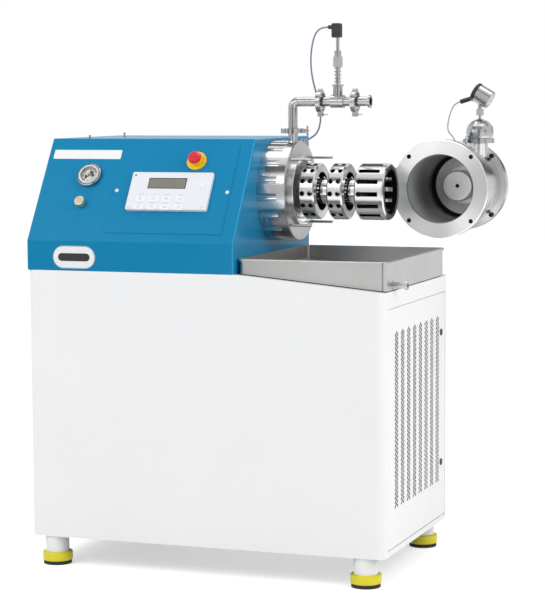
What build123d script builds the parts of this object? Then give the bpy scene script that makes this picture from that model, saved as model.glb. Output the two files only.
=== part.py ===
from build123d import *
import math
import os

# A floor-standing horizontal bead mill, drawn open for cleaning. Millimetres.
# X runs from the cabinet's left end to its right, Y from its front to its back, Z up from the floor.
# Every piece is drawn there, and save() moves it so that the origin is under the middle of the mill.

# Cabinet
cabinet_width = 1100.0
cabinet_depth = 660.0
cabinet_underside = 87.0
cabinet_top = 880.0
cabinet_end_top = 838.0
cabinet_corner = 24.0
sheet = 2.5

# Hood over the drive, at the left
hood_width = 652.0
hood_skirt_top = 967.0
hood_top = 1261.0
hood_slope_depth = 189.0
hood_edge_radius = 6.0

# Mill axis, which runs along X
axis_y = 336.0
axis_z = 1105.0
face_x = 739.0
flange_radius = 148.0
stud_circle_radius = 136.0
stud_radius = 4.0
stud_length = 66.0
stud_depth = 24.0
housing_tail_radius = 110.0

# Grinding chamber, measured back from its mouth
chamber_bore_radius = 104.0
chamber_body_radius = 120.0
chamber_rear_radius = 138.0
front_flange_thickness = 45.0
rear_flange_thickness = 12.0
chamber_length = 282.0
end_plate_thickness = 15.0
liner_thickness = 3.0
flange_hole_radius = 6.75
screen_radius = 47.0
screen_length = 80.0
screen_bore_radius = 6.0
screen_foot_radius = 58.0
screen_foot_thickness = 8.0

# Swing and pull-out of the chamber
pull_out = 283.0
pin_setback = 70.0
pin_offset = 150.0
pin_radius = 8.0
knuckle_radius = 14.0
lug_thickness = 16.0
carriage_half_height = 45.0
guide_bar_offset = 34.0
guide_bar_radius = 20.0
guide_bar_length = 378.0
key_width = 8.0
key_depth = 4.0

# Rotor
shaft_radius = 20.0
rotor_radius = 82.5
rotor_bore_radius = 70.0
disc_width = 47.0
disc_start = 19.0
disc_pitch = 86.0
disc_wall = 6.0
disc_opening_radius = 57.0
hub_radius = 38.0
hole_radius = 7.5
hole_row_pitch = 23.5
hole_count = 14
hole_phase = -3.0
cage_start = 189.0
cage_length = 89.0
cage_wall = 8.0
cage_hole_inset = 14.0
slot_width = 13.0
slot_length = 54.0
slot_end_inset = 17.0

# Drive
drive_pulley_radius = 100.0
motor_pulley_radius = 80.0
pulley_x = 62.0
belt_count = 3
belt_width = 13.0
belt_pitch = 19.0
belt_thickness = 9.0
belt_seat_depth = 6.0
motor_z = 330.0
motor_radius = 95.0
motor_length = 300.0
motor_shaft_radius = 19.0
motor_foot_drop = 112.0

# Product pipe
pipe_radius = 14.0
pipe_bore_radius = 12.0
riser_x = 714.0
pipe_z = 1368.0
elbow_radius = 17.0
ferrule_radius = 25.25
ferrule_thickness = 3.0
riser_clamp_z = 1282.0
first_clamp_x = 800.0
second_clamp_x = 907.0
nozzle_end_x = 955.0
sensor_x = 854.0

# Feet
foot_inset_x = 67.0
foot_inset_y = 40.0
foot_pad_radius = 42.0
foot_pad_height = 10.0
foot_ring_radius = 45.0
foot_ring_height = 28.0
foot_stem_radius = 35.0

# Side door
door_margin = 34.0
door_bottom = 105.0
door_top = 789.0
door_depth = 16.0
door_gap = 1.5
door_seal_gap = 5.0
door_pivot_inset = 8.0
door_pin_radius = 3.5
lock_y = 580.0
lock_heights = (272.0, 670.0)
vent_columns = 8
vent_rows = 18
vent_first_y = 118.0
vent_column_pitch = 60.6
vent_bottom = 225.0
vent_row_pitch = 28.5
vent_slot_width = 26.0
vent_slot_height = 9.0

# Drip tray
tray_hood_gap = 5.0
tray_end_inset = 2.0
tray_front = 26.0
tray_back_inset = 42.0
tray_top = 924.0
tray_wall = 2.0
tray_corner = 14.0
tray_lip = 5.0
gasket_thickness = 3.0
drain_y = 95.0
drain_radius = 9.0
drain_length = 42.0

# Openings and boxes in the cabinet
rear_opening_inset = 75.0
rear_opening_bottom = 150.0
rear_opening_top = 790.0
rear_cover_overlap = 15.0
electrics_end_gap = 110.0
electrics_width = 340.0
electrics_depth = 160.0
electrics_bottom = 260.0
electrics_height = 360.0
terminal_box_length = 130.0
terminal_box_width = 120.0
terminal_box_bottom = 80.0
terminal_box_top = 150.0

# Clearances
running_gap = 0.05
free_gap = 0.3

# Worked out from the sizes above
hood_slope_height = hood_top - hood_skirt_top
slope_angle = math.degrees(math.atan2(hood_slope_height, hood_slope_depth))
mouth_x = face_x + free_gap + pull_out
pin_x = mouth_x - pin_setback
pin_y = axis_y + pin_offset
guide_bar_y = pin_y + guide_bar_offset
open_x = pin_x + pin_offset
open_y = pin_y + pin_setback
back_x = face_x + disc_start
tray_left = hood_width + tray_hood_gap
tray_right = cabinet_width - tray_end_inset
tray_back = cabinet_depth - tray_back_inset
frame_top = 145.0
frame_bottom = 95.0
bed_top = 838.0
bed_thickness = 12.0
origin_x = (open_x + flange_radius) / 2
outlet_reach = 22.0
rear_y = open_y + chamber_length + end_plate_thickness + outlet_reach
origin_y = (foot_inset_y - foot_ring_radius + rear_y) / 2


def save(shape, name):
    export_step(Pos(-origin_x, -origin_y, 0) * shape, f"parts/{name}.step")


def block(x0, x1, y0, y1, z0, z1):
    return Pos((x0 + x1) / 2, (y0 + y1) / 2, (z0 + z1) / 2) * Box(x1 - x0, y1 - y0, z1 - z0)


def prism_x(points, x0, x1):
    face = make_face(Polyline(*[(x0, y, z) for y, z in points], close=True))
    return extrude(face, x1 - x0, dir=(1, 0, 0))


def prism_y(points, y0, y1):
    face = make_face(Polyline(*[(x, y0, z) for x, z in points], close=True))
    return extrude(face, y1 - y0, dir=(0, 1, 0))


def rod(start, end, radius):
    span = Vector(*end) - Vector(*start)
    place = Plane(origin=start, z_dir=span)
    return place * Cylinder(radius, span.length, align=(Align.CENTER, Align.CENTER, Align.MIN))


def tube(start, end, radius, bore):
    return rod(start, end, radius) - rod(start, end, bore)


def turned(points):
    """A solid turned about X from an outline of (x, radius) points."""
    return revolve(make_face(Polyline(*points, close=True)), Axis.X)


def on_axis(shape):
    return Pos(0, axis_y, axis_z) * shape


def axis_rod(x0, x1, radius):
    return rod((x0, axis_y, axis_z), (x1, axis_y, axis_z), radius)


def around(shape, angle):
    """Turns a shape about X. Angle 0 is the front, and 90 is the top."""
    return Rot(-angle, 0, 0) * shape


# Cabinet and frame

def sloped_top(x):
    fall = (cabinet_end_top - cabinet_top) / (cabinet_width - hood_width)
    return cabinet_top + fall * (x - hood_width)


def above_slope(drop):
    end = cabinet_width + 20
    outline = [(hood_width, sloped_top(hood_width) - drop), (end, sloped_top(end) - drop),
               (end, cabinet_top + 20), (hood_width, cabinet_top + 20)]
    return prism_y(outline, -10, cabinet_depth + 10)


def footprint(inset):
    width = cabinet_width - 2 * inset
    depth = cabinet_depth - 2 * inset
    outline = RectangleRounded(width, depth, cabinet_corner - inset)
    return Pos(cabinet_width / 2, cabinet_depth / 2, 0) * outline


def cabinet_shell():
    outer = extrude(Pos(0, 0, cabinet_underside) * footprint(0), cabinet_top - cabinet_underside)
    outer -= above_slope(0)
    inner = extrude(Pos(0, 0, cabinet_underside - 1) * footprint(sheet), cabinet_top - cabinet_underside + 1 - sheet)
    inner -= above_slope(sheet)
    shell = outer - inner
    shell -= block(45, hood_width - 5, 60, cabinet_depth - 60, cabinet_top - 10, cabinet_top + 10)
    low_y = door_margin - door_gap
    high_y = cabinet_depth - door_margin + door_gap
    shell -= block(cabinet_width - 10, cabinet_width + 10, low_y, high_y, door_bottom - door_gap, door_top + door_gap)
    shell -= block(rear_opening_inset, cabinet_width - rear_opening_inset, cabinet_depth - 10, cabinet_depth + 10,
                   rear_opening_bottom, rear_opening_top)
    return shell


def rear_cover():
    inset = rear_opening_inset - rear_cover_overlap
    cover = block(inset, cabinet_width - inset, cabinet_depth, cabinet_depth + sheet,
                  rear_opening_bottom - rear_cover_overlap, rear_opening_top + rear_cover_overlap)
    for row in range(6):
        slot_z = rear_opening_top - 150 + row * 22
        cover -= block(cabinet_width / 2 - 170, cabinet_width / 2 + 170, cabinet_depth - 5, cabinet_depth + 10,
                       slot_z, slot_z + 8)
    return cover


bar = 50.0
post = 40.0
frame_wall = 4.0
frame_foot_x = (foot_inset_x, cabinet_width - foot_inset_x)
frame_foot_y = (foot_inset_y, cabinet_depth - foot_inset_y)
post_x = (foot_inset_x, hood_width - 30)
bed_underside = bed_top - bed_thickness
end_rail_top = 800.0
motor_rail_top = motor_z - motor_foot_drop - bed_thickness


def frame_tubes(inset):
    """The welded frame of square tube. The inset draws the hollow inside each tube."""
    def bar_at(x0, x1, y0, y1, z0, z1):
        return block(x0 + inset, x1 - inset, y0 + inset, y1 - inset, z0 + inset, z1 - inset)

    half_bar = bar / 2
    half_post = post / 2
    left, right = frame_foot_x
    front, back = frame_foot_y
    tubes = Compound([])
    for y in frame_foot_y:
        tubes += bar_at(left - half_bar, right + half_bar, y - half_bar, y + half_bar, frame_bottom, frame_top)
    for x in frame_foot_x:
        tubes += bar_at(x - half_bar, x + half_bar, front - half_bar, back + half_bar, frame_bottom, frame_top)
    for x in (200, 430):
        tubes += bar_at(x, x + post, front + half_bar, back - half_bar, frame_bottom, motor_rail_top)
    for y in frame_foot_y:
        for x in post_x:
            tubes += bar_at(x - half_post, x + half_post, y - half_post, y + half_post, frame_top, bed_underside)
        tubes += bar_at(right - half_post, right + half_post, y - half_post, y + half_post, frame_top, end_rail_top)
        tubes += bar_at(post_x[1], right, y - half_post, y + half_post, end_rail_top - 20, end_rail_top)
    return tubes


def base_frame():
    frame = frame_tubes(0) - frame_tubes(frame_wall)
    frame += block(180, 480, axis_y - 150, axis_y + 150, motor_rail_top, motor_rail_top + bed_thickness)
    bed_back = cabinet_depth - foot_inset_y + 20
    bed = block(foot_inset_x - 20, hood_width - 10, foot_inset_y - 20, bed_back, bed_underside, bed_top)
    bed -= block(foot_inset_x - 30, 150, axis_y - 130, axis_y + 130, bed_top - 20, bed_top + 10)
    return frame + bed


def feet():
    stems = []
    rings = []
    pads = []
    for x in (foot_inset_x, cabinet_width - foot_inset_x):
        for y in (foot_inset_y, cabinet_depth - foot_inset_y):
            ring_top = foot_pad_height + foot_ring_height
            pad = Pos(x, y, foot_pad_height / 2) * Cylinder(foot_pad_radius, foot_pad_height)
            pads.append(chamfer(pad.edges().group_by(Axis.Z)[-1], 2))
            ring = rod((x, y, foot_pad_height), (x, y, ring_top), foot_ring_radius)
            rings.append(fillet(ring.edges(), 5))
            stems.append(rod((x, y, ring_top), (x, y, frame_bottom), foot_stem_radius))
    return Compound(stems), Compound(rings), Compound(pads)


# Side door

door_front_y = door_margin
door_back_y = cabinet_depth - door_margin
stop_x = cabinet_width - door_depth - door_seal_gap
pivot_x = cabinet_width - door_pivot_inset
pivot_y = door_front_y + door_pivot_inset
door_sheet = 2.0
stop_thickness = 3.0
lock_shaft_radius = 5.0


def side_door():
    door = block(cabinet_width - door_depth, cabinet_width, door_front_y, door_back_y, door_bottom, door_top)
    edge = door.edges().filter_by(Axis.Z).sort_by_distance((cabinet_width, door_front_y, door_bottom))[0]
    door = fillet(edge, door_pivot_inset - 0.01)
    door -= block(cabinet_width - door_depth - 1, cabinet_width - door_sheet, door_front_y + door_sheet,
                  door_back_y - door_sheet, door_bottom + door_sheet, door_top - door_sheet)
    for column in range(vent_columns):
        y = vent_first_y + column * vent_column_pitch
        for row in range(vent_rows):
            z = vent_bottom + row * vent_row_pitch
            door -= block(cabinet_width - 5, cabinet_width + 5, y - vent_slot_width / 2, y + vent_slot_width / 2,
                          z - vent_slot_height / 2, z + vent_slot_height / 2)
    for z in lock_heights:
        door -= rod((cabinet_width - 5, lock_y, z), (cabinet_width + 5, lock_y, z), lock_shaft_radius + running_gap)
    door += rod((pivot_x, pivot_y, door_top - door_sheet), (pivot_x, pivot_y, door_top + door_gap + 5), door_pin_radius)
    door += rod((pivot_x, pivot_y, door_bottom - door_gap - 5), (pivot_x, pivot_y, door_bottom + door_sheet),
                door_pin_radius)
    return door


def door_frame():
    lip = 8.0
    overlap = 15.0
    tab = 5.0
    low_y = door_front_y - door_gap - lip
    high_y = door_back_y + door_gap + lip
    low_z = door_bottom - door_gap - lip
    high_z = door_top + door_gap + lip
    back_x0 = stop_x - stop_thickness
    frame = block(back_x0, cabinet_width - sheet, low_y, high_y, low_z, high_z)
    frame -= block(stop_x, cabinet_width, low_y + 3, high_y - 3, low_z + 3, high_z - 3)
    frame -= block(back_x0 - 5, cabinet_width, door_front_y + overlap, door_back_y - overlap,
                   door_bottom + overlap, door_top - overlap)
    for z in (door_top + door_gap, door_bottom - door_gap - tab):
        hinge_tab = block(stop_x - 1, cabinet_width - sheet, low_y + 2, pivot_y + 12, z, z + tab)
        hinge_tab -= rod((pivot_x, pivot_y, z - 1), (pivot_x, pivot_y, z + tab + 1), door_pin_radius + running_gap)
        frame += hinge_tab
    return frame


def door_lock(z):
    cam_face = stop_x - stop_thickness - door_gap
    head = rod((cabinet_width, lock_y, z), (cabinet_width + 3, lock_y, z), 10)
    head -= block(cabinet_width + 1.5, cabinet_width + 4, lock_y - 1.5, lock_y + 1.5, z - 11, z + 11)
    stem = rod((cam_face - 3.5, lock_y, z), (cabinet_width, lock_y, z), lock_shaft_radius)
    cam = block(cam_face - 3.5, cam_face, lock_y - 7, lock_y + 7, z - 7, z + 40)
    return head + stem + cam


# Hood

def hood_outline(inset):
    y0 = inset
    y1 = cabinet_depth - inset
    top = hood_top - inset
    lean = math.radians(90 - slope_angle)
    kink_drop = inset * math.tan(lean / 2)
    crest_shift = inset * math.tan(math.radians(slope_angle / 2))
    return [(y0, cabinet_top), (y0, hood_skirt_top - kink_drop), (hood_slope_depth + crest_shift, top),
            (y1, top), (y1, cabinet_top)]


def hood_block(inset):
    solid = prism_x(hood_outline(inset), inset, hood_width - inset)
    ends = solid.edges().filter_by(lambda e: abs(e.center().X - hood_width / 2) > hood_width / 4)
    ends = ends.filter_by(lambda e: e.center().Z > cabinet_top + 1)
    return fillet(ends, hood_edge_radius - inset)


def slant(x, up, out):
    """A place on the hood's slanted front: x across, up the slope from its lower edge, and out from it."""
    plane = Plane(origin=(0, 0, hood_skirt_top), x_dir=(1, 0, 0), z_dir=(0, -hood_slope_height, hood_slope_depth))
    return plane.location * Pos(x, up, out)


gauge_place = (154.0, 219.0)
regulator_place = (147.5, 125.5)
plate_x = (240.0, 609.0)
plate_up = (30.0, 330.0)
plate_thickness = 1.5
display_x = (296.0, 550.0)
display_up = (103.0, 228.5)
display_thickness = 11.0
estop_place = (484.0, 272.0)
estop_travel = 5.0
gauge_radius = 37.0
gauge_depth = 14.0
spindle_radius = 4.0


def hood_shell():
    shell = hood_block(0) - hood_block(sheet)
    shell -= block(sheet, hood_width - sheet, sheet, cabinet_depth - sheet, cabinet_top - 1, cabinet_top + 20)
    inset = 14.0
    width = plate_x[1] - plate_x[0] - 2 * inset
    height = plate_up[1] - plate_up[0] - 2 * inset
    middle = slant(sum(plate_x) / 2, sum(plate_up) / 2, 0)
    shell -= middle * Box(width, height, 12)
    shell -= slant(*gauge_place, 0) * Cylinder(20, 12)
    shell -= slant(*regulator_place, 0) * Cylinder(8, 12)
    shell -= axis_rod(hood_width - 10, hood_width + 10, housing_tail_radius + 1)
    shell -= rod((hood_width - 10, guide_bar_y, axis_z), (hood_width + 10, guide_bar_y, axis_z), guide_bar_radius + 10)
    return shell


def control_plate():
    width = plate_x[1] - plate_x[0]
    height = plate_up[1] - plate_up[0]
    middle = slant(sum(plate_x) / 2, sum(plate_up) / 2, plate_thickness / 2)
    outline = RectangleRounded(width, height, 4)
    plate = middle * Pos(0, 0, -plate_thickness / 2) * extrude(outline, plate_thickness)
    plate -= slant(*estop_place, 0) * Cylinder(11, 12)
    display_middle = slant(sum(display_x) / 2, sum(display_up) / 2, 0)
    plate -= display_middle * Box(display_x[1] - display_x[0] - 40, display_up[1] - display_up[0] - 30, 12)
    return plate


def display_panel():
    width = display_x[1] - display_x[0]
    height = display_up[1] - display_up[0]
    case = extrude(RectangleRounded(width, height, 5), display_thickness)
    case = chamfer(case.edges().group_by(Axis.Z)[-1], 1.2)
    case -= Pos(-11, 25, display_thickness) * Box(120, 36, 3)
    case += Pos(0, 0, -9) * Box(width - 50, height - 40, 18)
    return slant(sum(display_x) / 2, sum(display_up) / 2, plate_thickness) * case


def estop_base():
    ring = Cylinder(30, 4, align=(Align.CENTER, Align.CENTER, Align.MIN))
    ring += Pos(0, 0, 4) * Cylinder(15, 8, align=(Align.CENTER, Align.CENTER, Align.MIN))
    ring += Pos(0, 0, -40) * Cylinder(10.5, 40, align=(Align.CENTER, Align.CENTER, Align.MIN))
    ring -= Pos(0, 0, -20) * Cylinder(6 + running_gap, 60, align=(Align.CENTER, Align.CENTER, Align.MIN))
    return slant(*estop_place, plate_thickness) * ring


def estop_button():
    top = 12.0 + estop_travel + 1
    outline = [(0, top), (19, top), (20, top + 3), (19, top + 8), (13, top + 12), (0, top + 13)]
    head = revolve(make_face(Polyline(*[(r, 0, z) for r, z in outline], close=True)), Axis.Z)
    stem = Pos(0, 0, -10) * Cylinder(6, top + 11, align=(Align.CENTER, Align.CENTER, Align.MIN))
    return slant(*estop_place, plate_thickness) * (head + stem)


def air_gauge():
    outline = [(spindle_radius - 1, 0), (gauge_radius, 0), (gauge_radius, gauge_depth - 2), (gauge_radius - 2, gauge_depth),
               (gauge_radius - 5, gauge_depth), (gauge_radius - 5, gauge_depth - 7), (spindle_radius - 1, gauge_depth - 7)]
    case = revolve(make_face(Polyline(*[(r, 0, z) for r, z in outline], close=True)), Axis.Z)
    neck = Pos(0, 0, -30) * Cylinder(16, 30, align=(Align.CENTER, Align.CENTER, Align.MIN))
    return slant(*gauge_place, 0) * (case + neck)


def needle(length, hub_height):
    """A pointer that lies on a dial, from the middle of its spindle."""
    pointer = Polyline((-1.6, -8, hub_height), (1.6, -8, hub_height), (0.6, length, hub_height),
                       (-0.6, length, hub_height), close=True)
    hand = extrude(make_face(pointer), 1.0, dir=(0, 0, 1))
    hub = Pos(0, 0, hub_height - 0.7) * Cylinder(3.2, 2.6, align=(Align.CENTER, Align.CENTER, Align.MIN))
    return hand + hub


def air_needle():
    turned_down = Rot(0, 0, 135) * needle(26, gauge_depth - 5.8)
    return slant(*gauge_place, 0) * turned_down


def regulator_body():
    body = Pos(0, 0, -28) * Cylinder(7.5, 28, align=(Align.CENTER, Align.CENTER, Align.MIN))
    body += Cylinder(12, 5, align=(Align.CENTER, Align.CENTER, Align.MIN))
    body -= Pos(0, 0, -10) * Cylinder(spindle_radius + running_gap, 30, align=(Align.CENTER, Align.CENTER, Align.MIN))
    return slant(*regulator_place, 0) * body


def regulator_knob():
    knob = Pos(0, 0, 5 + free_gap) * Cylinder(15, 16, align=(Align.CENTER, Align.CENTER, Align.MIN))
    knob = fillet(knob.edges().group_by(Axis.Z)[-1], 2)
    for step in range(12):
        groove = Rot(0, 0, step * 30) * Pos(15.6, 0, 5 + free_gap) * Cylinder(1.8, 13, align=(
            Align.CENTER, Align.CENTER, Align.MIN))
        knob -= groove
    knob += Pos(0, 0, -8) * Cylinder(spindle_radius, 14, align=(Align.CENTER, Align.CENTER, Align.MIN))
    return slant(*regulator_place, 0) * knob


# Drip tray

def tray_block(inset, z_drop, top):
    width = tray_right - tray_left - 2 * inset
    depth = tray_back - tray_front - 2 * inset
    outline = RectangleRounded(width, depth, tray_corner - inset)
    centre = Pos((tray_left + tray_right) / 2, (tray_front + tray_back) / 2, cabinet_end_top - 60)
    solid = extrude(centre * outline, top - cabinet_end_top + 60)
    low = gasket_thickness + z_drop
    end = cabinet_width + 50
    outline = [(hood_width - 10, sloped_top(hood_width - 10) + low), (end, sloped_top(end) + low),
               (end, cabinet_end_top - 90), (hood_width - 10, cabinet_end_top - 90)]
    return solid - prism_y(outline, 0, cabinet_depth)


def tray_gasket():
    strip = tray_block(4, -gasket_thickness, cabinet_top + 40) - tray_block(4, 0, cabinet_top + 50)
    centre = Pos((tray_left + tray_right) / 2, (tray_front + tray_back) / 2, cabinet_end_top - 20)
    hole = Box(tray_right - tray_left - 60, tray_back - tray_front - 60, 200)
    return strip - centre * hole


def drip_tray():
    tray = tray_block(0, 0, tray_top) - tray_block(tray_wall, tray_wall, tray_top + 5)
    centre = Pos((tray_left + tray_right) / 2, (tray_front + tray_back) / 2, 0)
    width = tray_right - tray_left + 2 * tray_lip
    depth = tray_back - tray_front + 2 * tray_lip
    lip = extrude(Pos(0, 0, tray_top - 8) * RectangleRounded(width, depth, tray_corner + tray_lip), 8)
    lip = fillet(lip.edges().group_by(Axis.Z)[-1], 3)
    lip -= Pos(0, 0, tray_top) * Box(width - 2 * (tray_lip + tray_wall), depth - 2 * (tray_lip + tray_wall), 20)
    lip = centre * lip
    lip -= block(hood_width - 20, hood_width + free_gap, 0, cabinet_depth, tray_top - 20, tray_top + 20)
    tray += lip - tray_block(tray_wall, tray_wall, tray_top + 5)
    z = drain_z()
    end = tray_right + drain_length
    tray += rod((tray_right - tray_wall, drain_y, z), (end, drain_y, z), drain_radius)
    tray += rod((tray_right, drain_y, z), (tray_right + 3, drain_y, z), drain_radius + 4)
    tray += rod((end - 7, drain_y, z), (end, drain_y, z), drain_radius + 4)
    return tray - rod((tray_right - 10, drain_y, z), (end + 1, drain_y, z), drain_radius - 2)


def drain_z():
    return sloped_top(tray_right) + gasket_thickness + tray_wall + drain_radius + 2


# Bearing housing, with the ribbed barrel outside the hood

flute_count = 18
flute_phase = -5.0
flute_radius = 13.0
flute_depth = 7.0
face_ring_width = 24.0
recess_radius = 97.0
recess_depth = 22.0
spigot_radius = chamber_bore_radius - 0.5
spigot_height = 10.0
relief_offset = pin_offset - knuckle_radius - 2
relief_half_height = carriage_half_height + lug_thickness + 15
gland_angle = 112.0
gland_x = face_x - 12
gland_height = 14.0
gland_arm_root = (gland_x, -flange_radius - 5, 0)
gland_arm_tip = (gland_x + 12, -flange_radius - 13, 0)


def housing_gland():
    """The cable gland on the face ring, drawn at the front and turned up to its place."""
    body = rod((gland_x, -flange_radius + 6, 0), (gland_x, -flange_radius - gland_height, 0), 7)
    body += rod(gland_arm_root, gland_arm_tip, 5)
    return around(body, gland_angle)


def bearing_housing():
    ring_x = face_x - face_ring_width
    outline = [(hood_width - 30, 26), (hood_width - 30, housing_tail_radius), (hood_width, housing_tail_radius),
               (hood_width, flange_radius), (face_x - 3, flange_radius), (face_x, flange_radius - 3),
               (face_x, recess_radius), (face_x - recess_depth, recess_radius), (face_x - recess_depth, 26)]
    housing = turned(outline)
    for step in range(flute_count):
        angle = flute_phase + step * 360 / flute_count
        centre = flange_radius + flute_radius - flute_depth
        flute = rod((hood_width - 1, -centre, 0), (ring_x - 2, -centre, 0), flute_radius)
        housing -= around(flute, angle)
    housing -= block(hood_width, face_x + 1, relief_offset, flange_radius + 20, -relief_half_height,
                     relief_half_height)
    for angle in (45, 135, 225, 315):
        hole = rod((face_x - stud_depth, -stud_circle_radius, 0), (face_x + 5, -stud_circle_radius, 0), stud_radius)
        housing -= around(hole, angle)
    housing = on_axis(housing + housing_gland())
    neck_bottom = axis_z + flange_radius - 12
    housing += rod((riser_x, axis_y, neck_bottom), (riser_x, axis_y, riser_clamp_z), pipe_radius)
    housing += rod((riser_x, axis_y, riser_clamp_z - ferrule_thickness), (riser_x, axis_y, riser_clamp_z),
                   ferrule_radius)
    housing -= rod((riser_x, axis_y, axis_z + recess_radius - 20), (riser_x, axis_y, riser_clamp_z + 1),
                   pipe_bore_radius)
    return housing


def seal_carrier():
    start = face_x - recess_depth
    outline = [(start, 60), (start, recess_radius - free_gap), (face_x, recess_radius - free_gap),
               (face_x, spigot_radius), (face_x + spigot_height - 1, spigot_radius),
               (face_x + spigot_height, spigot_radius - 1), (face_x + spigot_height, spigot_radius - 12),
               (start + 8, spigot_radius - 12), (start + 8, 60)]
    return on_axis(turned(outline))


def shaft_seal():
    start = face_x - recess_depth
    bore = hub_radius + running_gap
    outline = [(start, bore), (start, 60 - running_gap), (start + 10, 60 - running_gap), (start + 10, 66),
               (start + 16, 66), (start + 16, 50), (start + 24, 50), (start + 24, bore)]
    return on_axis(turned(outline))


def chamber_studs():
    studs = []
    for angle in (45, 135, 225, 315):
        stud = rod((face_x - stud_depth, -stud_circle_radius, 0), (face_x + stud_length, -stud_circle_radius, 0),
                   stud_radius)
        stud = chamfer(stud.edges().group_by(Axis.X)[-1], 1)
        studs.append(on_axis(around(stud, angle)))
    return Compound(studs)


bearing_radius = 45.0
bearing_width = 25.0
bearing_starts = (200.0, 585.0)


def bearing_unit():
    start = 190.0
    end = hood_width - 30
    body = axis_rod(start, end, 72)
    body += block(start + 20, end - 30, axis_y - 55, axis_y + 55, bed_top, axis_z)
    body -= block(start + 45, end - 55, axis_y - 60, axis_y + 60, bed_top + 20, axis_z - 80)
    body += block(start, end - 10, axis_y - 100, axis_y + 100, bed_top, bed_top + 20)
    body -= axis_rod(start - 1, end + 1, shaft_radius + 8)
    body -= axis_rod(start + 50, end - 50, 55)
    for x in bearing_starts:
        body -= axis_rod(x, x + bearing_width, bearing_radius)
    return body


def shaft_bearings():
    rings = []
    for x in bearing_starts:
        ring = axis_rod(x, x + bearing_width, bearing_radius)
        rings.append(ring - axis_rod(x - 1, x + bearing_width + 1, shaft_radius + running_gap))
    return Compound(rings)


def guide_pedestal():
    start = hood_width - 82
    end = hood_width - 12
    body = block(start, end, guide_bar_y - 34, guide_bar_y + 34, bed_top, axis_z + 34)
    body += block(start - 20, end, guide_bar_y - 60, guide_bar_y + 60, bed_top, bed_top + 16)
    body += rod((end, guide_bar_y, axis_z), (hood_width, guide_bar_y, axis_z), guide_bar_radius + 8)
    body -= rod((start - 1, guide_bar_y, axis_z), (hood_width + 1, guide_bar_y, axis_z), guide_bar_radius + running_gap)
    key_top = axis_z + guide_bar_radius + 2
    key_bottom = axis_z + guide_bar_radius - key_depth + free_gap
    half_width = key_width / 2 - running_gap
    return body + block(start, end, guide_bar_y - half_width, guide_bar_y + half_width, key_bottom, key_top)


# Drive

def belt_loop(extra):
    """The outline of a belt round both pulleys, extra outside their seats."""
    top = drive_pulley_radius - belt_seat_depth + extra
    bottom = motor_pulley_radius - belt_seat_depth + extra
    spacing = axis_z - motor_z
    lean = math.asin((bottom - top) / spacing)
    side = (math.cos(lean), math.sin(lean))
    corners = [(top * side[0], top * side[1]), (bottom * side[0], bottom * side[1] - spacing),
               (-bottom * side[0], bottom * side[1] - spacing), (-top * side[0], top * side[1])]
    outline = make_face(Polyline(*[(0, y, z) for y, z in corners], close=True))
    web = extrude(outline, belt_width, dir=(1, 0, 0))
    web += rod((0, 0, 0), (belt_width, 0, 0), top)
    web += rod((0, 0, -spacing), (belt_width, 0, -spacing), bottom)
    return web


def belt_x(index):
    return pulley_x + 8 + index * belt_pitch


def drive_belts():
    belt = belt_loop(belt_thickness) - belt_loop(0.4)
    belt -= rod((-1, 0, 0), (belt_width + 1, 0, 0), drive_pulley_radius - belt_seat_depth + 0.4)
    belts = []
    for index in range(belt_count):
        belts.append(Pos(belt_x(index), axis_y, axis_z) * belt)
    return Compound(belts)


def pulley(radius, bore):
    width = 16 + belt_count * belt_pitch - (belt_pitch - belt_width)
    outline = [(0, bore), (0, radius)]
    for index in range(belt_count):
        start = 8 + index * belt_pitch - 0.5
        end = start + belt_width + 1
        seat = radius - belt_seat_depth
        outline += [(start, radius), (start, seat), (end, seat), (end, radius)]
    outline += [(width, radius), (width, bore)]
    return turned(outline)


def driven_pulley():
    return Pos(pulley_x, axis_y, axis_z) * pulley(drive_pulley_radius, shaft_radius)


def motor_pulley():
    wheel = Pos(pulley_x, axis_y, motor_z) * pulley(motor_pulley_radius, motor_shaft_radius)
    return wheel + rod((pulley_x - 6, axis_y, motor_z), (520, axis_y, motor_z), motor_shaft_radius)


def drive_motor():
    start = 170.0
    end = start + motor_length
    body = rod((start, axis_y, motor_z), (end, axis_y, motor_z), motor_radius)
    for step in range(20):
        fin = block(start + 20, end - 10, -motor_radius - 12, -motor_radius + 5, -2, 2)
        body += Pos(0, axis_y, motor_z) * around(fin, step * 18)
    body += block(start + 20, end - 60, axis_y - 110, axis_y - 70, motor_z - motor_foot_drop, motor_z - 60)
    body += block(start + 20, end - 60, axis_y + 70, axis_y + 110, motor_z - motor_foot_drop, motor_z - 60)
    body += block(start + 60, start + 60 + terminal_box_length, axis_y - terminal_box_width / 2,
                  axis_y + terminal_box_width / 2, motor_z + terminal_box_bottom, motor_z + terminal_box_top)
    body += tube((end - 15, axis_y, motor_z), (end + 80, axis_y, motor_z), motor_radius + 8, motor_radius + 5)
    body += rod((end + 76, axis_y, motor_z), (end + 80, axis_y, motor_z), motor_radius + 6)
    return body - rod((start - 1, axis_y, motor_z), (530, axis_y, motor_z), motor_shaft_radius + running_gap)


def electrics_box():
    right = cabinet_width - electrics_end_gap
    left = right - electrics_width
    front = cabinet_depth - electrics_depth
    top = electrics_bottom + electrics_height
    box = block(left, right, front, cabinet_depth, electrics_bottom, top)
    box = fillet(box.edges().filter_by(Axis.Z), 6)
    return box - block(left + 2, right - 2, front + 2, cabinet_depth - 2, electrics_bottom + 2, top - 2)


# Product pipe

def clamp_place(x, z, across):
    if across:
        return Plane(origin=(x, axis_y, z), x_dir=(0, 0, -1), z_dir=(1, 0, 0))
    return Plane(origin=(x, axis_y, z), x_dir=(1, 0, 0), z_dir=(0, 0, 1))


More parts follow.
